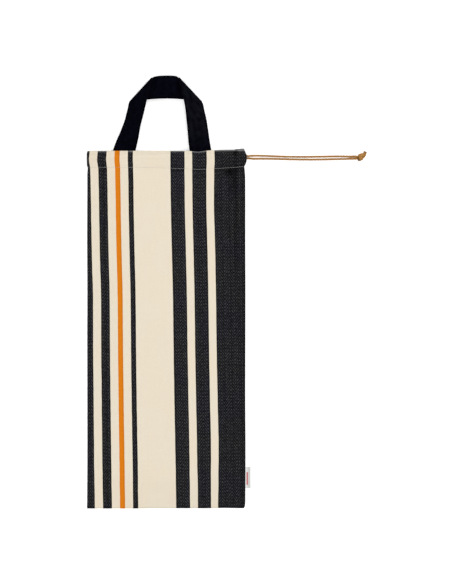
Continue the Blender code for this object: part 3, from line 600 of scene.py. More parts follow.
def make_ring():
    """Columns round the bag from the right seam over the front to the left edge and back:
    arrays of kind (0 right, 1 flat, 2 left), value, facing, share of the way round."""
    inner, last = solid_ring()
    flat = (np.arange(PANEL) + 0.5) / PANEL
    right_x = {a: a / 90 for a in ARC}
    kind, value, facing, share = [], [], [], []
    for a in ARC:
        kind.append(0), value.append(a), facing.append(1), share.append(2 * right_x[a] / last)
    table_x = np.concatenate([[0.0], inner, [1.0]])
    table_k = np.concatenate([[2.0], 3 + np.arange(16), [19.0]]) / last
    for f in flat:
        kind.append(1), value.append(1 - f), facing.append(1), share.append(np.interp(f, table_x, table_k))
    for a in ARC[::-1]:
        kind.append(2), value.append(a), facing.append(1), share.append((22 - a / 30) / last)
    for a in ARC[1:]:
        kind.append(2), value.append(a), facing.append(-1), share.append((22 + a / 30) / last)
    for f in flat:
        kind.append(1), value.append(f), facing.append(-1), share.append(1 - np.interp(1 - f, table_x, table_k))
    for a in ARC[::-1]:
        kind.append(0), value.append(a), facing.append(-1), share.append(1 - 2 * right_x[a] / last)
    return np.array(kind), np.array(value), np.array(facing), np.array(share)


KIND, VALUE, FACING, SHARE = make_ring()
COUNT = len(KIND)
CORD = CORD_Y_FRONT + (CORD_Y_BACK - CORD_Y_FRONT) * SHARE
FRONT_CORD = np.where(FACING > 0, CORD, CORD_Y_FRONT + (CORD_Y_BACK - CORD_Y_FRONT) * (1 - SHARE))


def rough_x():
    flat = -154.65 + 10 + VALUE * (145.4 + 154.65 - 20)
    return np.where(KIND == 0, 145.4, np.where(KIND == 2, -154.65, flat))


ROUGH_X = rough_x()
STITCH_Y = STITCH(ROUGH_X)
TOP_Y = TOP_EDGE(ROUGH_X) - np.where(FACING > 0, FRONT_DROP(ROUGH_X), 0.0)


def painted_shade_share(x, y):
    """Share of painted shade, 0 to 1, in the hollow under the casing beside the slit and in the soft
    trough that runs down from it, at a pucker below the top edge beside the slit, along the side
    and bottom edges, and on both sides of the stitch line."""
    pit = 0.95 * np.exp(-(((x - 116.0) / 9.0) ** 2) - ((y - 229.0) / 6.5) ** 2)
    tail = 0.55 * np.exp(-(((x - 122.0) / 6.5) ** 2) - ((y - 208.0) / 22.0) ** 2)
    band = 0.62 * np.exp(-(((x - 127.4) / 2.2) ** 2)) * ease((y + 60.0) / 150.0)
    spot = 0.9 * np.exp(-(((x - 125.5) / 4.5) ** 2) - ((y - 266.5) / 3.6) ** 2)
    left, right = SIDES(y, 0), SIDES(y, 1)
    rim = 0.5 * np.exp(-((np.maximum(right - x - 0.6, 0.0) / 1.7) ** 2)) + 0.4 * np.exp(-((np.maximum(x - left - 0.4, 0.0) / 1.2) ** 2))
    foot = 0.5 * np.exp(-((np.maximum(y - BOTTOM_Y - 0.5, 0.0) / 1.6) ** 2))
    pinch = 0.42 * np.exp(-(((np.abs(y - STITCH(x)) - 2.8) / 1.2) ** 2)) * ease((x - left) / 6.0)
    return np.clip(pit + tail + band + spot + rim + foot + pinch, 0.0, 1.0)


def relief(x, y):
    """How far the front's cloth rises or sinks from its plain form, away from its edges."""
    left, right = SIDES(y, 0), SIDES(y, 1)
    stitch = STITCH(x)
    near = np.minimum(x - left, right - x)
    lift = 0.9 * smooth_noise(x, y, 95.0, 170.0, 1) + 0.35 * smooth_noise(x, y, 42.0, 60.0, 2)
    casing = ease((y - stitch + 4.0) / 8.0)
    lift *= 1 - 0.75 * casing
    # puckers that the stitch line gathers, fading above and below it
    pull = smooth_noise(x, y, 5.5, 60.0, 3) - 0.45
    lift += 0.75 * pull * np.exp(-(((y - stitch) / np.where(y > stitch, 4.0, 9.0)) ** 2))
    # the hollow below the casing beside the slit, and the trough down from it
    lift -= 1.4 * np.exp(-(((x - 118.0) / 12.0) ** 2) - ((y - 218.0) / 19.0) ** 2)
    lift += 0.5 * np.exp(-(((x - 92.0) / 11.0) ** 2) - ((y - 205.0) / 30.0) ** 2)
    lift -= 0.8 * np.exp(-(((x - 127.4) / 4.5) ** 2)) * ease((y + 60.0) / 150.0)
    # seam pull along both sides and the bottom
    lift += 0.55 * smooth_noise(x, y, 60.0, 11.0, 4) * np.exp(-((near - 9.0) / 9.0) ** 2)
    lift += 0.4 * smooth_noise(x, y, 12.0, 60.0, 5) * np.exp(-(((y - BOTTOM_Y) - 14.0) / 12.0) ** 2)
    return lift * ease((near - 4.0) / 10.0) * ease((y - BOTTOM_Y - 2.0) / 14.0) * ease((275.0 - y) / 6.0 + 0.55)


def top_height(x, y, left, right, ends, mid):
    """Height of the front's outer face over the floor."""
    from_left, from_right = x - left, right - x
    return np.where(
        from_left < from_right,
        ends[0] + (mid - ends[0]) * ease((from_left - 2) / 62.0),
        ends[1] + (mid - ends[1]) * ease(from_right / 62.0),
    )


def place(y, offset, room, slit, inset=0.0, stack=None, radius=None, groove=0.0):
    """The ring of points at height y, offset inward from the outer face."""
    y = np.broadcast_to(np.asarray(y, float), COUNT)
    left, right = SIDES(y, 0), SIDES(y, 1)
    if room is None:
        mid = STACKS(y, 0) if stack is None else np.full(COUNT, float(stack))
        edge = STACKS(y, 1) if radius is None else np.full(COUNT, float(radius))
        ends = (2 * edge, 2 * edge)
    else:
        casing = 2 * PLY + room
        from_cord = y - FRONT_CORD
        mid = casing + LEVELS(from_cord, 0)
        edge = np.full(COUNT, casing + SIDE_INNER)
        ends = (2 * edge, casing + LEVELS(from_cord, 1))
    flat_x = left + INSET + VALUE * (right - left - 2 * INSET)
    slit_x = right - np.interp(VALUE, [0, 45, 90], [0.0, 2.0, 5.0])
    x = np.where(KIND == 1, flat_x, slit_x)
    top = top_height(x, y, left, right, ends, mid) + relief(x, y)
    z = np.where(FACING > 0, top - offset, offset)
    angle = np.radians(VALUE) * FACING
    inner = np.maximum(edge - offset, 0.6) if inset else edge - offset
    across = inset + (0.6 if inset else edge)
    pinch = groove * np.exp(-((VALUE / 14.0) ** 2))
    round_x = np.where(
        KIND == 2,
        left + across - inner * np.cos(angle) + pinch,
        right - across + inner * np.cos(angle) - pinch,
    )
    turned = (KIND == 2) | ((KIND == 0) & (not slit))
    x = np.where(turned, round_x, x)
    z = np.where(turned, edge + inner * np.sin(angle), z)
    return np.stack([x, y, z], axis=1)


def casing_y(row):
    reference, at, _ = row
    if reference == 0:
        return STITCH_Y + at * (CORD - SWELL - STITCH_Y)
    if reference == 1:
        return CORD + at
    return CORD + SWELL + at * (TOP_Y - 1.1 - CORD - SWELL)


def warp_shift(u, y, facing):
    """How far the warp that starts at u has run sideways at height y."""
    def body(at):
        knots = np.array([WARP(at, k) for k in range(4)])
        out = np.empty_like(u)
        for i in range(len(u)):
            out[i] = np.interp(u[i], WARP_AT, knots[:, i])
        out = out - 0.8 * np.exp(-(((u - 56.0) / 17.0) ** 2)) * ease((at - 238.0) / 8.0)
        out = out + 0.9 * np.exp(-(((u - 49.0) / 9.0) ** 2)) * ease((-325.0 - at) / 35.0)
        return out - 0.6 * np.exp(-(((u - 90.0) / 8.0) ** 2)) * ease((-372.0 - at) / 25.0)
    if facing > 0:
        return body(y)
    bottom = body(np.full_like(y, BOTTOM_Y))
    return bottom + 0.6 * (bottom - body(np.minimum(y, 222.0)))


def body_shift(u, y):
    return warp_shift(u, y, 1)


def cloth_u(points, facing):
    """Place across the cloth's width of points, on the front or on the back."""
    x, y = points[:, 0], points[:, 1]
    u = x - warp_shift(x, y, facing)
    return x - warp_shift(u, y, facing)


def round_the_sides(points, u, slit):
    """Carries the place across the cloth on round its side edges, by the length of the turn."""
    flat = np.where(KIND == 1)[0]
    first, last = flat[FACING[flat] > 0][[0, -1]], flat[FACING[flat] < 0][[0, -1]]
    apart = lambda a, b: float(np.linalg.norm((points[a] - points[b])[[0, 2]]))
    for start, step, stop, sign in (
        (first[0], -1, -1, 1), (first[1], 1, first[1] + len(ARC) + 1, -1),
        (last[0], -1, last[0] - len(ARC), -1), (last[1], 1, COUNT, 1),
    ):
        if not (slit and sign > 0):
            for k in range(start + step, stop, step):
                u[k] = u[k - step] + sign * apart(k, k - step)


def bag_cloth():
    rows = []  # (points, open at the slit, along, reverse, crest)
    up = lambda y: np.broadcast_to(np.asarray(y, float), COUNT) - BOTTOM_Y

    def add_row(y, offset, room, slit, reverse=0.0, crest=0.0, along=None, **more):
        rows.append((place(y, offset, room, slit, **more), slit, up(y) if along is None else along, reverse, crest))

    for y in BODY_Y:
        add_row(y, 0.0, None, False, groove=1.0)
    add_row(STITCH_Y - 2.2, 0.05, None, False, stack=STITCH_STACK - 0.1, radius=2.75, groove=0.8)
    add_row(STITCH_Y, 0.42, None, False, stack=STITCH_STACK, radius=2.9, groove=0.6)
    for row in CASING:
        slack = 0.0 if row[0] else 0.12 * (1 - row[1])
        add_row(casing_y(row), slack, row[2], True, crest=0.2 if row[1] == 0.78 else 0.0)
    turn = TOP_Y - BOTTOM_Y
    add_row(TOP_Y - 1.1, 0.0, TOP_ROOM, True, crest=0.7)
    add_row(TOP_Y - 0.45, 0.28, TOP_ROOM, True, crest=0.85)
    add_row(TOP_Y, PLY + TOP_ROOM / 2, TOP_ROOM, True, crest=1.0)
    add_row(TOP_Y - 0.45, 2 * PLY + TOP_ROOM - 0.28, TOP_ROOM, True, crest=0.8)
    add_row(TOP_Y - 1.1, 2 * PLY + TOP_ROOM, TOP_ROOM, True, crest=0.2, along=turn + 1.1)
    for row in CASING[::-1]:
        y = casing_y(row)
        add_row(y, 2 * PLY + row[2], row[2], True, along=turn + TOP_Y - y)
    y = STITCH_Y - HEM_TURN
    add_row(y, 2 * PLY + STITCH_ROOM, None, False, along=turn + TOP_Y - y, stack=STITCH_STACK, radius=2.9)
    add_row(y - 1.0, PLY, None, False, reverse=1.0, inset=SEAM_ALLOWANCE, stack=STITCH_STACK, radius=2.8)
    for y in BODY_Y[:0:-1]:
        add_row(y, PLY, None, False, reverse=1.0, inset=SEAM_ALLOWANCE)

    verts, along, reverse, crest, u = [], [], [], [], []
    total = 0
    ids = []

    def add_ring(points, slit, v, back, lip):
        nonlocal total
        keep = COUNT if slit else COUNT - 1
        verts.append(points[:keep])
        along.append(np.broadcast_to(v, COUNT)[:keep])
        reverse.append(np.full(keep, back))
        # beside the slit the back's edge shows above the front's, pale with wear and a painted highlight
        bare = ease((points[:, 0] - 126.0) / 4.0) * ease((points[:, 1] - TOP_Y + 5.0) / 1.5) * (FACING < 0) * (points[:, 2] > 2.0)
        crest.append(np.maximum(lip, 0.95 * bare)[:keep])
        across = np.where(FACING > 0, cloth_u(points, 1), cloth_u(points, -1))
        round_the_sides(points, across, slit)
        u.append(across[:keep])
        row = list(range(total, total + keep)) + ([] if slit else [total])
        total += keep
        return row

    for points, slit, v, back, lip in rows:
        ids.append(add_ring(points, slit, v, back, lip))
    faces = []
    for a, b in zip(ids[:-1], ids[1:]):
        faces += [[a[k], a[k + 1], b[k + 1], b[k]] for k in range(COUNT - 1)]

    half = (COUNT - 1) // 2

    def fold_row(row, points, y, level, back):
        nonlocal total
        front, rear = points[1:half], points[COUNT - 2:half:-1]
        middle = (front + rear) / 2
        middle[:, 1] = y
        if level is not None:
            middle[:, 2] = level
        verts.append(middle)
        along.append(np.zeros(len(middle)))
        reverse.append(np.full(len(middle), back))
        crest.append(np.zeros(len(middle)))
        u.append(cloth_u(middle, 1))
        fold = [row[0]] + list(range(total, total + len(middle))) + [row[half]]
        total += len(middle)
        last = COUNT - 1
        for k in range(half):
            for i0, i1 in ((k, k + 1), ((last - k) % last, last - k - 1)):
                quad = [row[i0], row[i1], fold[k + 1], fold[k]]
                quad = [q for n, q in enumerate(quad) if q not in quad[:n]]
                faces.append(quad if (i0 < i1) else quad[::-1])

    fold_row(ids[0], rows[0][0], BOTTOM_Y, None, 0.0)
    fold_row(ids[-1], rows[-1][0], BODY_Y[1] + 1.2, None, 1.0)

    # the tunnel for the cord inside the casing
    start = len(BODY_Y) + 1
    outer = [place(casing_y(row), PLY, row[2], True) for row in CASING]
    hem = [place(casing_y(row), PLY + row[2], row[2], True) for row in CASING]
    seam = (rows[start][0] + rows[start + 2 * len(CASING) + 6][0]) / 2
    middle = seam + 0.45 * ((outer[0] + hem[0]) / 2 - seam)
    apart = outer[0] - hem[0]
    apart = apart / np.linalg.norm(apart, axis=1, keepdims=True) * STITCH_ROOM / 2
    crown = [
        place(TOP_Y - 2.0, PLY, TOP_ROOM, True), place(TOP_Y - 1.6, PLY + 0.1, TOP_ROOM, True),
        place(TOP_Y - 1.3, PLY + TOP_ROOM / 2, TOP_ROOM, True),
        place(TOP_Y - 1.6, PLY + TOP_ROOM - 0.1, TOP_ROOM, True), place(TOP_Y - 2.0, PLY + TOP_ROOM, TOP_ROOM, True),
    ]
    wall = [middle + apart] + outer + crown + hem[::-1] + [middle - apart]
    tunnel = [add_ring(points, True, points[:, 1] - BOTTOM_Y, 1.0, 0.0) for points in wall]
    many = len(tunnel)
    for n in range(many):
        a, b = tunnel[n], tunnel[(n + 1) % many]
        faces += [[a[k + 1], a[k], b[k], b[k + 1]] for k in range(COUNT - 1)]
    for n in range(many):
        m = (n + 1) % many
        a, b = ids[start + n], ids[start + m]
        for k, flip in ((0, False), (COUNT - 1, True)):
            quad = [a[k], b[k], tunnel[m][k], tunnel[n][k]]
            faces.append(quad[::-1] if flip else quad)

    # the fold at the bottom isn't quite straight
    verts = [np.array(part) for part in verts]
    for part in verts:
        reach = 1 - ease((part[:, 1] - BOTTOM_Y - 2.0) / 22.0)
        wave = -0.5 * ease((-10.0 - part[:, 0]) / 50.0) + 0.55 * np.exp(-(((part[:, 0] - 108.0) / 22.0) ** 2)) - 0.15
        part[:, 1] += reach * wave
    obj = build("bread_bag", np.vstack(verts), faces, LINEN)
    give_uv(obj, "cloth", np.stack([np.concatenate(u), np.concatenate(along)], axis=1))
    give_value(obj, "reverse", np.concatenate(reverse))
    give_value(obj, "crest", np.concatenate(crest))
    every = np.vstack(verts)
    outside = every[:, 2] > BOTTOM_STACK / 2
    # painted shade on the outside of the cloth
    give_value(obj, "painted_shade", np.where(outside, painted_shade_share(every[:, 0], every[:, 1]), 0.0))
    return obj


# ---------------------------------------------------------------- stitches
def stitch_run(points, normals, length, gap, thick):
    """Closed little thread lengths laid along a line of points on the cloth."""
    lengths = arc_lengths(points)
    verts, faces = [], []
    s = 0.8
    profile = [(-1.0, 0.0), (-0.96, 0.5), (-0.8, 0.85), (-0.45, 1.0), (0.0, 1.08), (0.45, 1.0), (0.8, 0.85), (0.96, 0.5), (1.0, 0.0)]
    sides = 6
    n = 0
    while s + length < lengths[-1] - 0.5:
        middle = s + length / 2
        centre = at_length(points, np.array([middle]))[0]
        ahead = at_length(points, np.array([middle + 0.5]))[0] - at_length(points, np.array([middle - 0.5]))[0]
        ahead /= np.linalg.norm(ahead)
        normal = np.array([np.interp(middle, lengths, normals[:, k]) for k in range(3)])
        sway = 0.10 * math.sin(n * 2.4)
        across = np.cross(normal, ahead)
        base = len(verts)
        for along, size in profile:
            spot = centre + ahead * along * length / 2 + across * sway * along
            sink = -0.22 * along * along
            for k in range(sides):
                a = 2 * math.pi * k / sides
                r = max(size, 0.15) * thick / 2
                verts.append(spot + across * r * math.cos(a) + normal * (r * math.sin(a) + sink))
        for i in range(len(profile) - 1):
            for k in range(sides):
                a, b = base + i * sides + k, base + i * sides + (k + 1) % sides
                faces.append([a, b, b + sides, a + sides])
        faces.append([base + k for k in range(sides)][::-1])
        faces.append([base + (len(profile) - 1) * sides + k for k in range(sides)])
        s += length + gap
        n += 1
    return verts, faces


def casing_stitches(cloth):
    verts, faces = [], []
    skin = BVHTree.FromPolygons([v.co for v in cloth.data.vertices], [p.vertices for p in cloth.data.polygons])

    def add(points, normals, length=2.7, gap=0.55, thick=0.38):
        v, f = stitch_run(points, normals, length, gap, thick)
        base = len(verts)
        verts.extend(v)
        faces.extend([[i + base for i in face] for face in f])

    x = np.arange(-151.0, 143.6, 1.0)
    y = STITCH(x)
    z = np.array([skin.ray_cast(Vector((a * MM, b * MM, 0.1)), Vector((0.0, 0.0, -1.0)))[0].z / MM for a, b in zip(x, y)])
    across = x - body_shift(x, y)
    firm = sum(ease((across - low) / 1.5 + 0.5) * ease((high - across) / 1.5 + 0.5) for low, high in BLACK_STRIPES)
    proud = 0.08 + 0.22 * firm + 0.14 * ease((x - 122.0) / 8.0)
    line, up = np.stack([x, y, z + proud], axis=1), np.tile([0.0, 0.0, 1.0], (len(x), 1))
    add(line[x < 124.0], up[x < 124.0], gap=0.42)
    add(line[x > 120.0], up[x > 120.0], gap=0.26, thick=0.46)
    add(np.stack([x, y, np.full_like(x, 0.24)], axis=1), np.tile([0.0, 0.0, -1.0], (len(x), 1)))
    return build("casing_stitches", verts, faces, THREAD)


# ---------------------------------------------------------------- handle tape
def leg_rails(table, side):
    outer, inner = [], []
    for cx, cy, cz, lean, tilt in table:
        lean, tilt = math.radians(lean), math.radians(tilt)
        wide = TAPE_WIDTH * (1 - 0.024 * float(ease((288.0 - cy) / 16.0)))
        across = np.array([side * math.cos(lean) * math.cos(tilt), -math.sin(lean) * math.cos(tilt), math.sin(tilt)])
        centre = np.array([cx, cy, cz])
        outer.append(centre - across * wide / 2)
        inner.append(centre + across * wide / 2)
    return outer, inner


def fold_rows(ends, side, steps):
    a, b = np.array(ends[0]), np.array(ends[1])
    along = (b - a) / np.linalg.norm(b - a)
    out = np.cross(along, [0, 0, 1.0])
    out /= np.linalg.norm(out)
    if out[0] * side > 0:
        out = -out
    up = np.cross(out, along)
    if up[2] < 0:
        up = -up
    rows = []
    for k in range(steps + 1):
        phi = math.radians(FOLD_TURN[0] + (FOLD_TURN[1] - FOLD_TURN[0]) * k / steps)
        shift = FOLD_RADIUS * (math.sin(phi) * up - (1 - math.cos(phi)) * out)
        rows.append((a + shift, b + shift))
    return rows


def leg_rows(table, fold_top, side, count, straight):
    outer, inner = leg_rails(table, side)
    rail_o = through(outer + [fold_top[0]])
    rail_i = through(inner + [fold_top[1]])
    len_o, len_i = arc_lengths(rail_o)[-1], arc_lengths(rail_i)[-1]
    s_o = np.linspace(0, len_o, count + 1)[:-1]
    s_i = s_o + (len_i - len_o) * ease((s_o - straight) / (len_o - straight))
    return list(zip(at_length(rail_o, s_o), at_length(rail_i, s_i)))


def tape_rows(leg_count, bar_count, fold_steps):
    left_fold = fold_rows(FOLD_LEFT, 1, fold_steps)
    right_fold = fold_rows(FOLD_RIGHT, -1, fold_steps)
    rows = leg_rows(LEG_LEFT, left_fold[0], 1, leg_count, 55.0)
    rows += left_fold
    low = through([left_fold[-1][0]] + BAR_LOW + [right_fold[-1][0]])
    high = through([left_fold[-1][1]] + BAR_HIGH + [right_fold[-1][1]])
    f = np.linspace(0, 1, bar_count + 1)[1:-1]
    rows += list(zip(at_length(low, f * arc_lengths(low)[-1]), at_length(high, f * arc_lengths(high)[-1])))
    rows += right_fold[::-1]
    rows += leg_rows(LEG_RIGHT, right_fold[0], -1, leg_count, 55.0)[::-1]
    return rows


def handle_tape():
    rows = tape_rows(92, 56, 12)
    edge = TAPE_THICK / 2 / TAPE_WIDTH
    spread = np.concatenate([[0.0, edge * 0.25, edge * 0.7], np.linspace(edge * 1.3, 1 - edge * 1.3, 17), [1 - edge * 0.7, 1 - edge * 0.25, 1.0]])
    grid = np.array([[a + (b - a) * t for t in spread] for a, b in rows])
    flat = grid.reshape(-1, 3)
    low = flat[:, 1] < 282.0
    free = ease((flat[low, 1] - 269.5) / 12.5)
    flat[low, 2] = IN_MOUTH(flat[low, 1]) * (1 - free) + flat[low, 2] * free
    grid = flat.reshape(grid.shape)
    d_row = np.gradient(grid, axis=0)
    d_col = np.gradient(grid, axis=1)
    normal = np.cross(d_row, d_col)
    normal /= np.linalg.norm(normal, axis=2, keepdims=True)
    near = np.minimum(spread, 1 - spread) / edge
    half = TAPE_THICK / 2 * np.sqrt(np.clip(1 - (1 - np.clip(near, 0, 1)) ** 2, 0, 1))
    half = half * (1 - 0.10 * np.exp(-((np.minimum(spread, 1 - spread) * TAPE_WIDTH - 2.2) / 0.5) ** 2))
    top = grid + normal * half[None, :, None]
    under = grid - normal * half[None, :, None]
    n, m = grid.shape[:2]
    ring = [top[:, j] for j in range(m)] + [under[:, j] for j in range(m - 2, 0, -1)]
    ring = np.stack(ring, axis=1)
    size = ring.shape[1]
    across = (spread - 0.5) * TAPE_WIDTH
    across = np.concatenate([across, across[-2:0:-1]])
    middle = grid[:, m // 2]
    along = arc_lengths(middle)
    uv = np.stack([np.tile(across, (n, 1)), np.repeat(along[:, None], size, 1)], axis=2).reshape(-1, 2)
    faces = []
    for i in range(n - 1):
        for j in range(size):
            a, b = i * size + j, i * size + (j + 1) % size
            faces.append([a, b, b + size, a + size])
    faces.append([j for j in range(size)][::-1])
    faces.append([(n - 1) * size + j for j in range(size)])
    obj = build("handle_tape", ring.reshape(-1, 3), faces, TAPE)
    give_uv(obj, "tape", uv)
    return obj, along[-1]


# ---------------------------------------------------------------- seam tab
def seam_tab():
    half = LABEL_PLY + LABEL_GAP / 2
    xr = LABEL_X1 - half
    steps, segments = 8, 30
    profile = []
    flat = np.linspace(LABEL_X0, xr, 7)[:-1]
    for x in flat:
        profile.append((x, half))
    for k in range(steps + 1):
        a = math.pi / 2 - math.pi * k / steps
        profile.append((xr + half * math.cos(a), half * math.sin(a)))
    for x in flat[::-1]:
        profile.append((x, -half))
    for x in flat:
        profile.append((x, -LABEL_GAP / 2))
    for k in range(steps + 1):
        a = -math.pi / 2 + math.pi * k / steps
        profile.append((xr + LABEL_GAP / 2 * math.cos(a), LABEL_GAP / 2 * math.sin(a)))
    for x in flat[::-1]:
        profile.append((x, LABEL_GAP / 2))
    n = len(profile)
    verts, uv, faces = [], [], []
    for s in range(segments + 1):
        y = LABEL_Y0 + (LABEL_Y1 - LABEL_Y0) * s / segments
        for x, z in profile:
            out = (x - LABEL_X0) / (LABEL_X1 - LABEL_X0)
            droop = 0.75 * out**2 + 0.12 * out * math.sin(y * 0.21)
            verts.append((x, y, max(z + 1.66 - droop, 0.03)))
            uv.append((x - LABEL_X0, y - LABEL_Y0))
    for s in range(segments):
        for k in range(n):
            a, b = s * n + k, s * n + (k + 1) % n
            faces.append([a, a + n, b + n, b])
    outside = list(range(0, n // 2))
    inside = list(range(n - 1, n // 2 - 1, -1))
    for s, flip in ((0, False), (segments, True)):
        for k in range(len(outside) - 1):
            quad = [s * n + outside[k], s * n + outside[k + 1], s * n + inside[k + 1], s * n + inside[k]]
            faces.append(quad[::-1] if flip else quad)
    obj = build("seam_tab", verts, faces, RIBBON)
    give_uv(obj, "ribbon", uv)
    return obj


# ---------------------------------------------------------------- drawcord
def lay_of_cord(angle):
    """Radius of a three-strand cord at an angle, for an outer radius of 1, and how proud it is."""
    turn = np.abs((angle / (2 * np.pi / 3)) % 1.0 - 0.5) * 2  # 0 in a valley, 1 on a strand
    rs, c = 0.464, 0.536
    phi = (1 - turn) * np.pi / 3
    r = c * np.cos(phi) + np.sqrt(np.maximum(rs**2 - (c * np.sin(phi)) ** 2, 0.0))
    return np.maximum(r, 0.62), np.clip(turn * 1.25, 0, 1)


def cord_surface(points, diameter=CORD_D, pitch=8.5, sides=24, start=0.0, hand=1.0, cut=False):
    """Rings of a laid cord along points: (verts, faces, uv, lobe)."""
    p = np.array(points, float)
    tangent = np.gradient(p, axis=0)
    tangent /= np.linalg.norm(tangent, axis=1, keepdims=True)
    lengths = arc_lengths(p)
    wide = np.broadcast_to(diameter, len(p))
    side = np.cross(tangent[0], [0, 0, 1.0])
    side /= np.linalg.norm(side)
    verts, uv, lobe, faces = [], [], [], []
    angles = np.linspace(0, 2 * np.pi, sides, endpoint=False)
    for i, (centre, t) in enumerate(zip(p, tangent)):
        side = side - t * (side @ t)
        side /= np.linalg.norm(side)
        up = np.cross(side, t)
        turn = angles - hand * 2 * np.pi * (lengths[i] + start) / pitch
        r, proud = lay_of_cord(turn)
        size = wide[i] / 2
        if cut:  # the lay opens a little at a cut end
            away = lengths[-1] - lengths[i]
            size *= 1 + 0.10 * math.exp(-((away - 0.8) / 1.0) ** 2) - 0.22 * math.exp(-(away / 0.35) ** 2)
            proud = proud * (1 - 0.65 * math.exp(-((away / 1.3) ** 2)))
        verts.append(centre + size * r[:, None] * (np.cos(angles)[:, None] * side + np.sin(angles)[:, None] * up))
        lobe.append(proud)
        uv.append(np.stack([turn / (2 * np.pi) * 3, np.full(sides, lengths[i] + start)], axis=1))
    n = len(p)
    for i in range(n - 1):
        for k in range(sides):
            a, b = i * sides + k, i * sides + (k + 1) % sides
            faces.append([a, b, b + sides, a + sides])
    faces.append([k for k in range(sides)][::-1])
    faces.append([(n - 1) * sides + k for k in range(sides)])
    return np.vstack(verts), faces, np.vstack(uv), np.concatenate(lobe)


def knot_grime_shade_light(x, y):
    """Share of darkening near and in the knot: a little grime where it is gripped, painted shade in its folds and under
    it, darker at a tail's tip, and less under a painted highlight on top; and the share of painted light that lifts the
    knot's cord.
    """
    near = 0.05 * ease((x - 338.0) / 22.0)
    fold = 0.48 * np.exp(-(((x - 361.9) / 1.9) ** 2) - ((y - 256.0) / 5.5) ** 2)
    under = 0.75 * np.exp(-(((x - 363.4) / 2.0) ** 2) - ((y - 251.6) / 2.4) ** 2)
    tip = 0.45 * np.exp(-(((x - 376.4) / 2.2) ** 2) - ((y - 267.6) / 2.8) ** 2)
    painted_light = 0.30 * np.exp(-(((x - 367.6) / 2.8) ** 2) - ((y - 258.0) / 3.6) ** 2)
    return np.clip(near + fold + under + tip - painted_light, 0.0, 0.9), ease((x - 357.0) / 5.0)


def cord_piece(name, parts):
    verts, faces, uv, lobe, base = [], [], [], [], 0
    for v, f, t, p in parts:
        verts.append(v), uv.append(t), lobe.append(p)
        faces += [[i + base for i in face] for face in f]
        base += len(v)
    obj = build(name, np.vstack(verts), faces, TAN, sharp=80.0)
    give_uv(obj, "cord", np.vstack(uv) * [1000.0 * MM, 1.0])
    give_value(obj, "lobe", np.concatenate(lobe))
    every = np.vstack(verts)
    grime_and_shade, painted_light = knot_grime_shade_light(every[:, 0], every[:, 1])
    give_value(obj, "grime_and_shade", grime_and_shade)
    give_value(obj, "painted_light", painted_light)
    return obj


def held_route():
    """Centre line of the cord inside the casing, as its solid lies."""
    bend = np.where(KIND == 2, 0.08, 0.0)
    centre = place(CORD, PLY + TUNNEL / 2 + bend, TUNNEL, True)
    keep = np.ones(COUNT, bool)
    keep[1:len(ARC) - 1] = False
    keep[-len(ARC) + 1:-1] = False
    return through(centre[keep], per=4)


def even(curve, spacing):
    total = arc_lengths(curve)[-1]
    return at_length(curve, np.linspace(0, total, max(int(total / spacing), 2) + 1))


def wraps(core, angle, wide, high, turns, start, advance, steps=40):
    """A strand wound round an axis that lies at an angle in the plane: wide across it, high
    over it, moving along it; its two ends dive into the middle."""
    axis = np.array([math.cos(angle), math.sin(angle), 0.0])
    across = np.array([-axis[1], axis[0], 0.0])
    out = []
    count = int(steps * turns)
    for k in range(count + 1):
        f = k / count
        a = start + 2 * math.pi * turns * f
        dive = ease(min(f, 1 - f) * turns / 0.16) * 0.5 + 0.5
        barrel = 1 - 0.10 * (2 * f - 1) ** 2
        out.append(
            np.array(core) + axis * advance * (f - 0.5)
            + across * wide * barrel * dive * math.cos(a) + np.array([0, 0, high * dive * math.sin(a)])
        )
    return np.array(out)


# ---------------------------------------------------------------- camera
def make_camera():
    """Straight above, a long lens, so that the frame is 863.8 by 1116 mm on the floor."""
    data = bpy.data.cameras.new("camera")
    data.sensor_fit = "AUTO"
    data.sensor_width = 36.0
    away = 12.0
    data.lens = 36.0 * away / (584 * 1.911 * MM)
    data.clip_start, data.clip_end = 1.0, 100.0
    obj = bpy.data.objects.new("camera", data)
    obj.location = ((226 - 168.825) * 1.911 * MM, (292.075 - 292) * 1.911 * MM, away)
    bpy.context.scene.collection.objects.link(obj)
    bpy.context.scene.camera = obj
    return obj


make_camera()
LINEN, TAPE, TAN, RIBBON, THREAD = striped_linen(), black_tape(), tan_cord(), pale_ribbon(), seam_thread()

# ---------------------------------------------------------------- cords first
held = held_route()
# the two runs draw together where they leave the slit
held[:, 1] += 0.8 * ease((held[:, 0] - 134.0) / 13.0) * np.sign((CORD_Y_FRONT + CORD_Y_BACK) / 2 - held[:, 1])
held_length = arc_lengths(held)[-1]
ends_fine = np.concatenate([
    np.arange(0, 26, 0.7), np.arange(26, held_length - 26, 2.2), np.arange(held_length - 26, held_length, 0.7), [held_length],
])
held_points = at_length(held, ends_fine)
held_cord = cord_piece("cord_in_casing_laid", [cord_surface(held_points, start=0.0, sides=20)])
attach(held_cord, "root")
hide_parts("cord_in_casing")


PLUMP = 3.9  # over the strands' crowns, where the laid cord of 3 mm lies free


def leg(name, node, first, second, run, end, start, hand):
    step = (first - second) / np.linalg.norm(first - second)
    route = through([first - step * 0.4, first + step * 0.45] + list(run) + [end], per=16)
    points = even(route, 0.75)
    points[:, 2] += 0.4 * ease((points[:, 0] - 150.0) / 12.0) + 0.25 * ease((points[:, 0] - 336.0) / 16.0)
    wide = PLUMP + 0.45 * ease((points[:, 0] - 338.0) / 14.0)  # the lay opens as it nears the knot
    obj = cord_piece(name, [cord_surface(points, diameter=wide, start=start, hand=hand)])
    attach(obj, "root")
    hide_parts(node)
    return obj, points, arc_lengths(points)[-1]


front_leg, front_path, front_length = leg(
    "cord_leg_front_laid", "cord_leg_front", held[0], held[4], RUN_FRONT, (KNOT_FACE, 258.4, 2.7), 3.0, 1.0)
back_leg, back_path, back_length = leg(
    "cord_leg_back_laid", "cord_leg_back", held[-1], held[-5], RUN_BACK, (KNOT_FACE, 255.0, 2.7), held_length, 1.0)


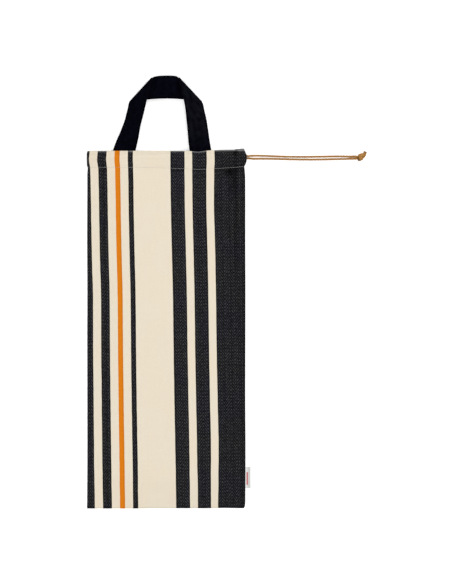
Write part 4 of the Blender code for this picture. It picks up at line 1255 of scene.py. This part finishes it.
def knot():
    # both runs pass through the turns side by side and come out again as two short cut tails
    kx, ky, kz = 366.4, 257.0, 4.3
    core_a = through([
        (KNOT_FACE - 2.0, 258.8, 2.6), (kx - 3.6, ky + 1.5, 3.4), (kx - 0.2, ky + 1.9, 4.4),
        (kx + 3.1, ky + 3.1, 4.5), (kx + 5.6, ky + 5.8, 4.1), (kx + 6.9, ky + 9.0, 3.5), (kx + 7.6, ky + 12.1, 2.9)], per=10)
    core_b = through([
        (KNOT_FACE - 2.0, 254.9, 2.6), (kx - 3.4, ky - 1.6, 3.0), (kx + 0.8, ky - 1.4, 3.6),
        (kx + 5.0, ky + 0.6, 3.3), (kx + 8.3, ky + 3.7, 3.0), (kx + 9.3, ky + 7.5, 2.6), (kx + 10.2, ky + 10.9, 2.2)], per=10)
    parts = [
        cord_surface(even(core_a, 0.5), diameter=3.9, start=1.0, cut=True),
        cord_surface(even(core_b, 0.5), diameter=3.8, start=4.0, cut=True),
        cord_surface(even(wraps((kx - 0.7, ky - 0.1, kz), 0.06, 5.3, 2.6, 2.55, 2.4, 6.8), 0.5), diameter=4.0, start=2.0),
        cord_surface(even(wraps((kx + 0.7, ky + 1.4, kz + 0.5), -0.60, 5.2, 3.3, 0.60, 3.40, 1.4), 0.5), diameter=4.0),
    ]
    obj = cord_piece("cord_knot_tied", parts)
    for v in obj.data.vertices:
        x, y = v.co.x / MM, v.co.y / MM
        # the turns bulge to the upper right and are drawn in below it
        out = 1.0 * math.exp(-(((y - 254.8) / 2.6) ** 2)) * float(ease((x - 366.5) / 3.5))
        rise = 0.7 * math.exp(-(((x - 365.6) / 2.8) ** 2)) + 1.8 * math.exp(-(((x - 368.7) / 1.9) ** 2))
        rise *= float(ease((y - 259.0) / 3.5))
        rise += float(np.interp(x, [362.6, 364.4, 366.3, 368.2, 371.0], [-0.3, 0.0, 0.75, 1.1, 0.9])) * float(ease((255.5 - y) / 3.5))
        v.co = (v.co.x + out * MM, v.co.y + rise * MM, max(v.co.z, 0.00005))
    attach(obj, "root")
    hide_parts("cord_knot")
    return obj


knot_piece = knot()

# ---------------------------------------------------------------- cloth pieces
bag = bag_cloth()
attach(bag, "root")
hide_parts("bag_cloth")

stitches = casing_stitches(bag)
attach(stitches, "root")

tape, tape_length = handle_tape()
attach(tape, "root")
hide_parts("handle_strap")

tab = seam_tab()
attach(tab, "root")
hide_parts("side_label")


# ---------------------------------------------------------------- floor and light
def make_floor():
    mesh = bpy.data.meshes.new("pale_floor")
    reach = 9.0
    mesh.from_pydata([(-reach, -reach, -0.0003), (reach, -reach, -0.0003), (reach, reach, -0.0003), (-reach, reach, -0.0003)], [], [[0, 1, 2, 3]])
    obj = bpy.data.objects.new("pale_floor", mesh)
    bpy.context.scene.collection.objects.link(obj)
    mesh.materials.append(pale_floor())
    return obj


def area(name, place_at, aim, size, power):
    data = bpy.data.lights.new(name, "AREA")
    data.shape = "RECTANGLE"
    data.size, data.size_y = size
    data.energy = power
    obj = bpy.data.objects.new(name, data)
    obj.location = place_at
    obj.rotation_euler = (Vector(aim) - Vector(place_at)).to_track_quat("-Z", "Y").to_euler()
    bpy.context.scene.collection.objects.link(obj)
    return obj


make_floor()
area("overhead", (0.0, -0.4, 3.6), (0.0, -0.1, 0.0), (1.6, 1.6), 54.0)
area("key_right", (1.8, 1.6, 2.2), (0.0, -0.1, 0.0), (1.2, 1.4), 36.0)
area("fill_left", (-2.4, -0.8, 2.1), (0.0, -0.1, 0.0), (1.6, 1.6), 18.0)
world = bpy.data.worlds.new("studio")
world.use_nodes = True
world.node_tree.nodes["Background"].inputs[0].default_value = (1.0, 1.0, 1.0, 1.0)
world.node_tree.nodes["Background"].inputs[1].default_value = 0.45
bpy.context.scene.world = world
bpy.context.scene.view_settings.view_transform = "Standard"
bpy.context.scene.view_settings.look = "None"
bpy.context.scene.cycles.denoising_prefilter = "NONE"  # keeps the weave
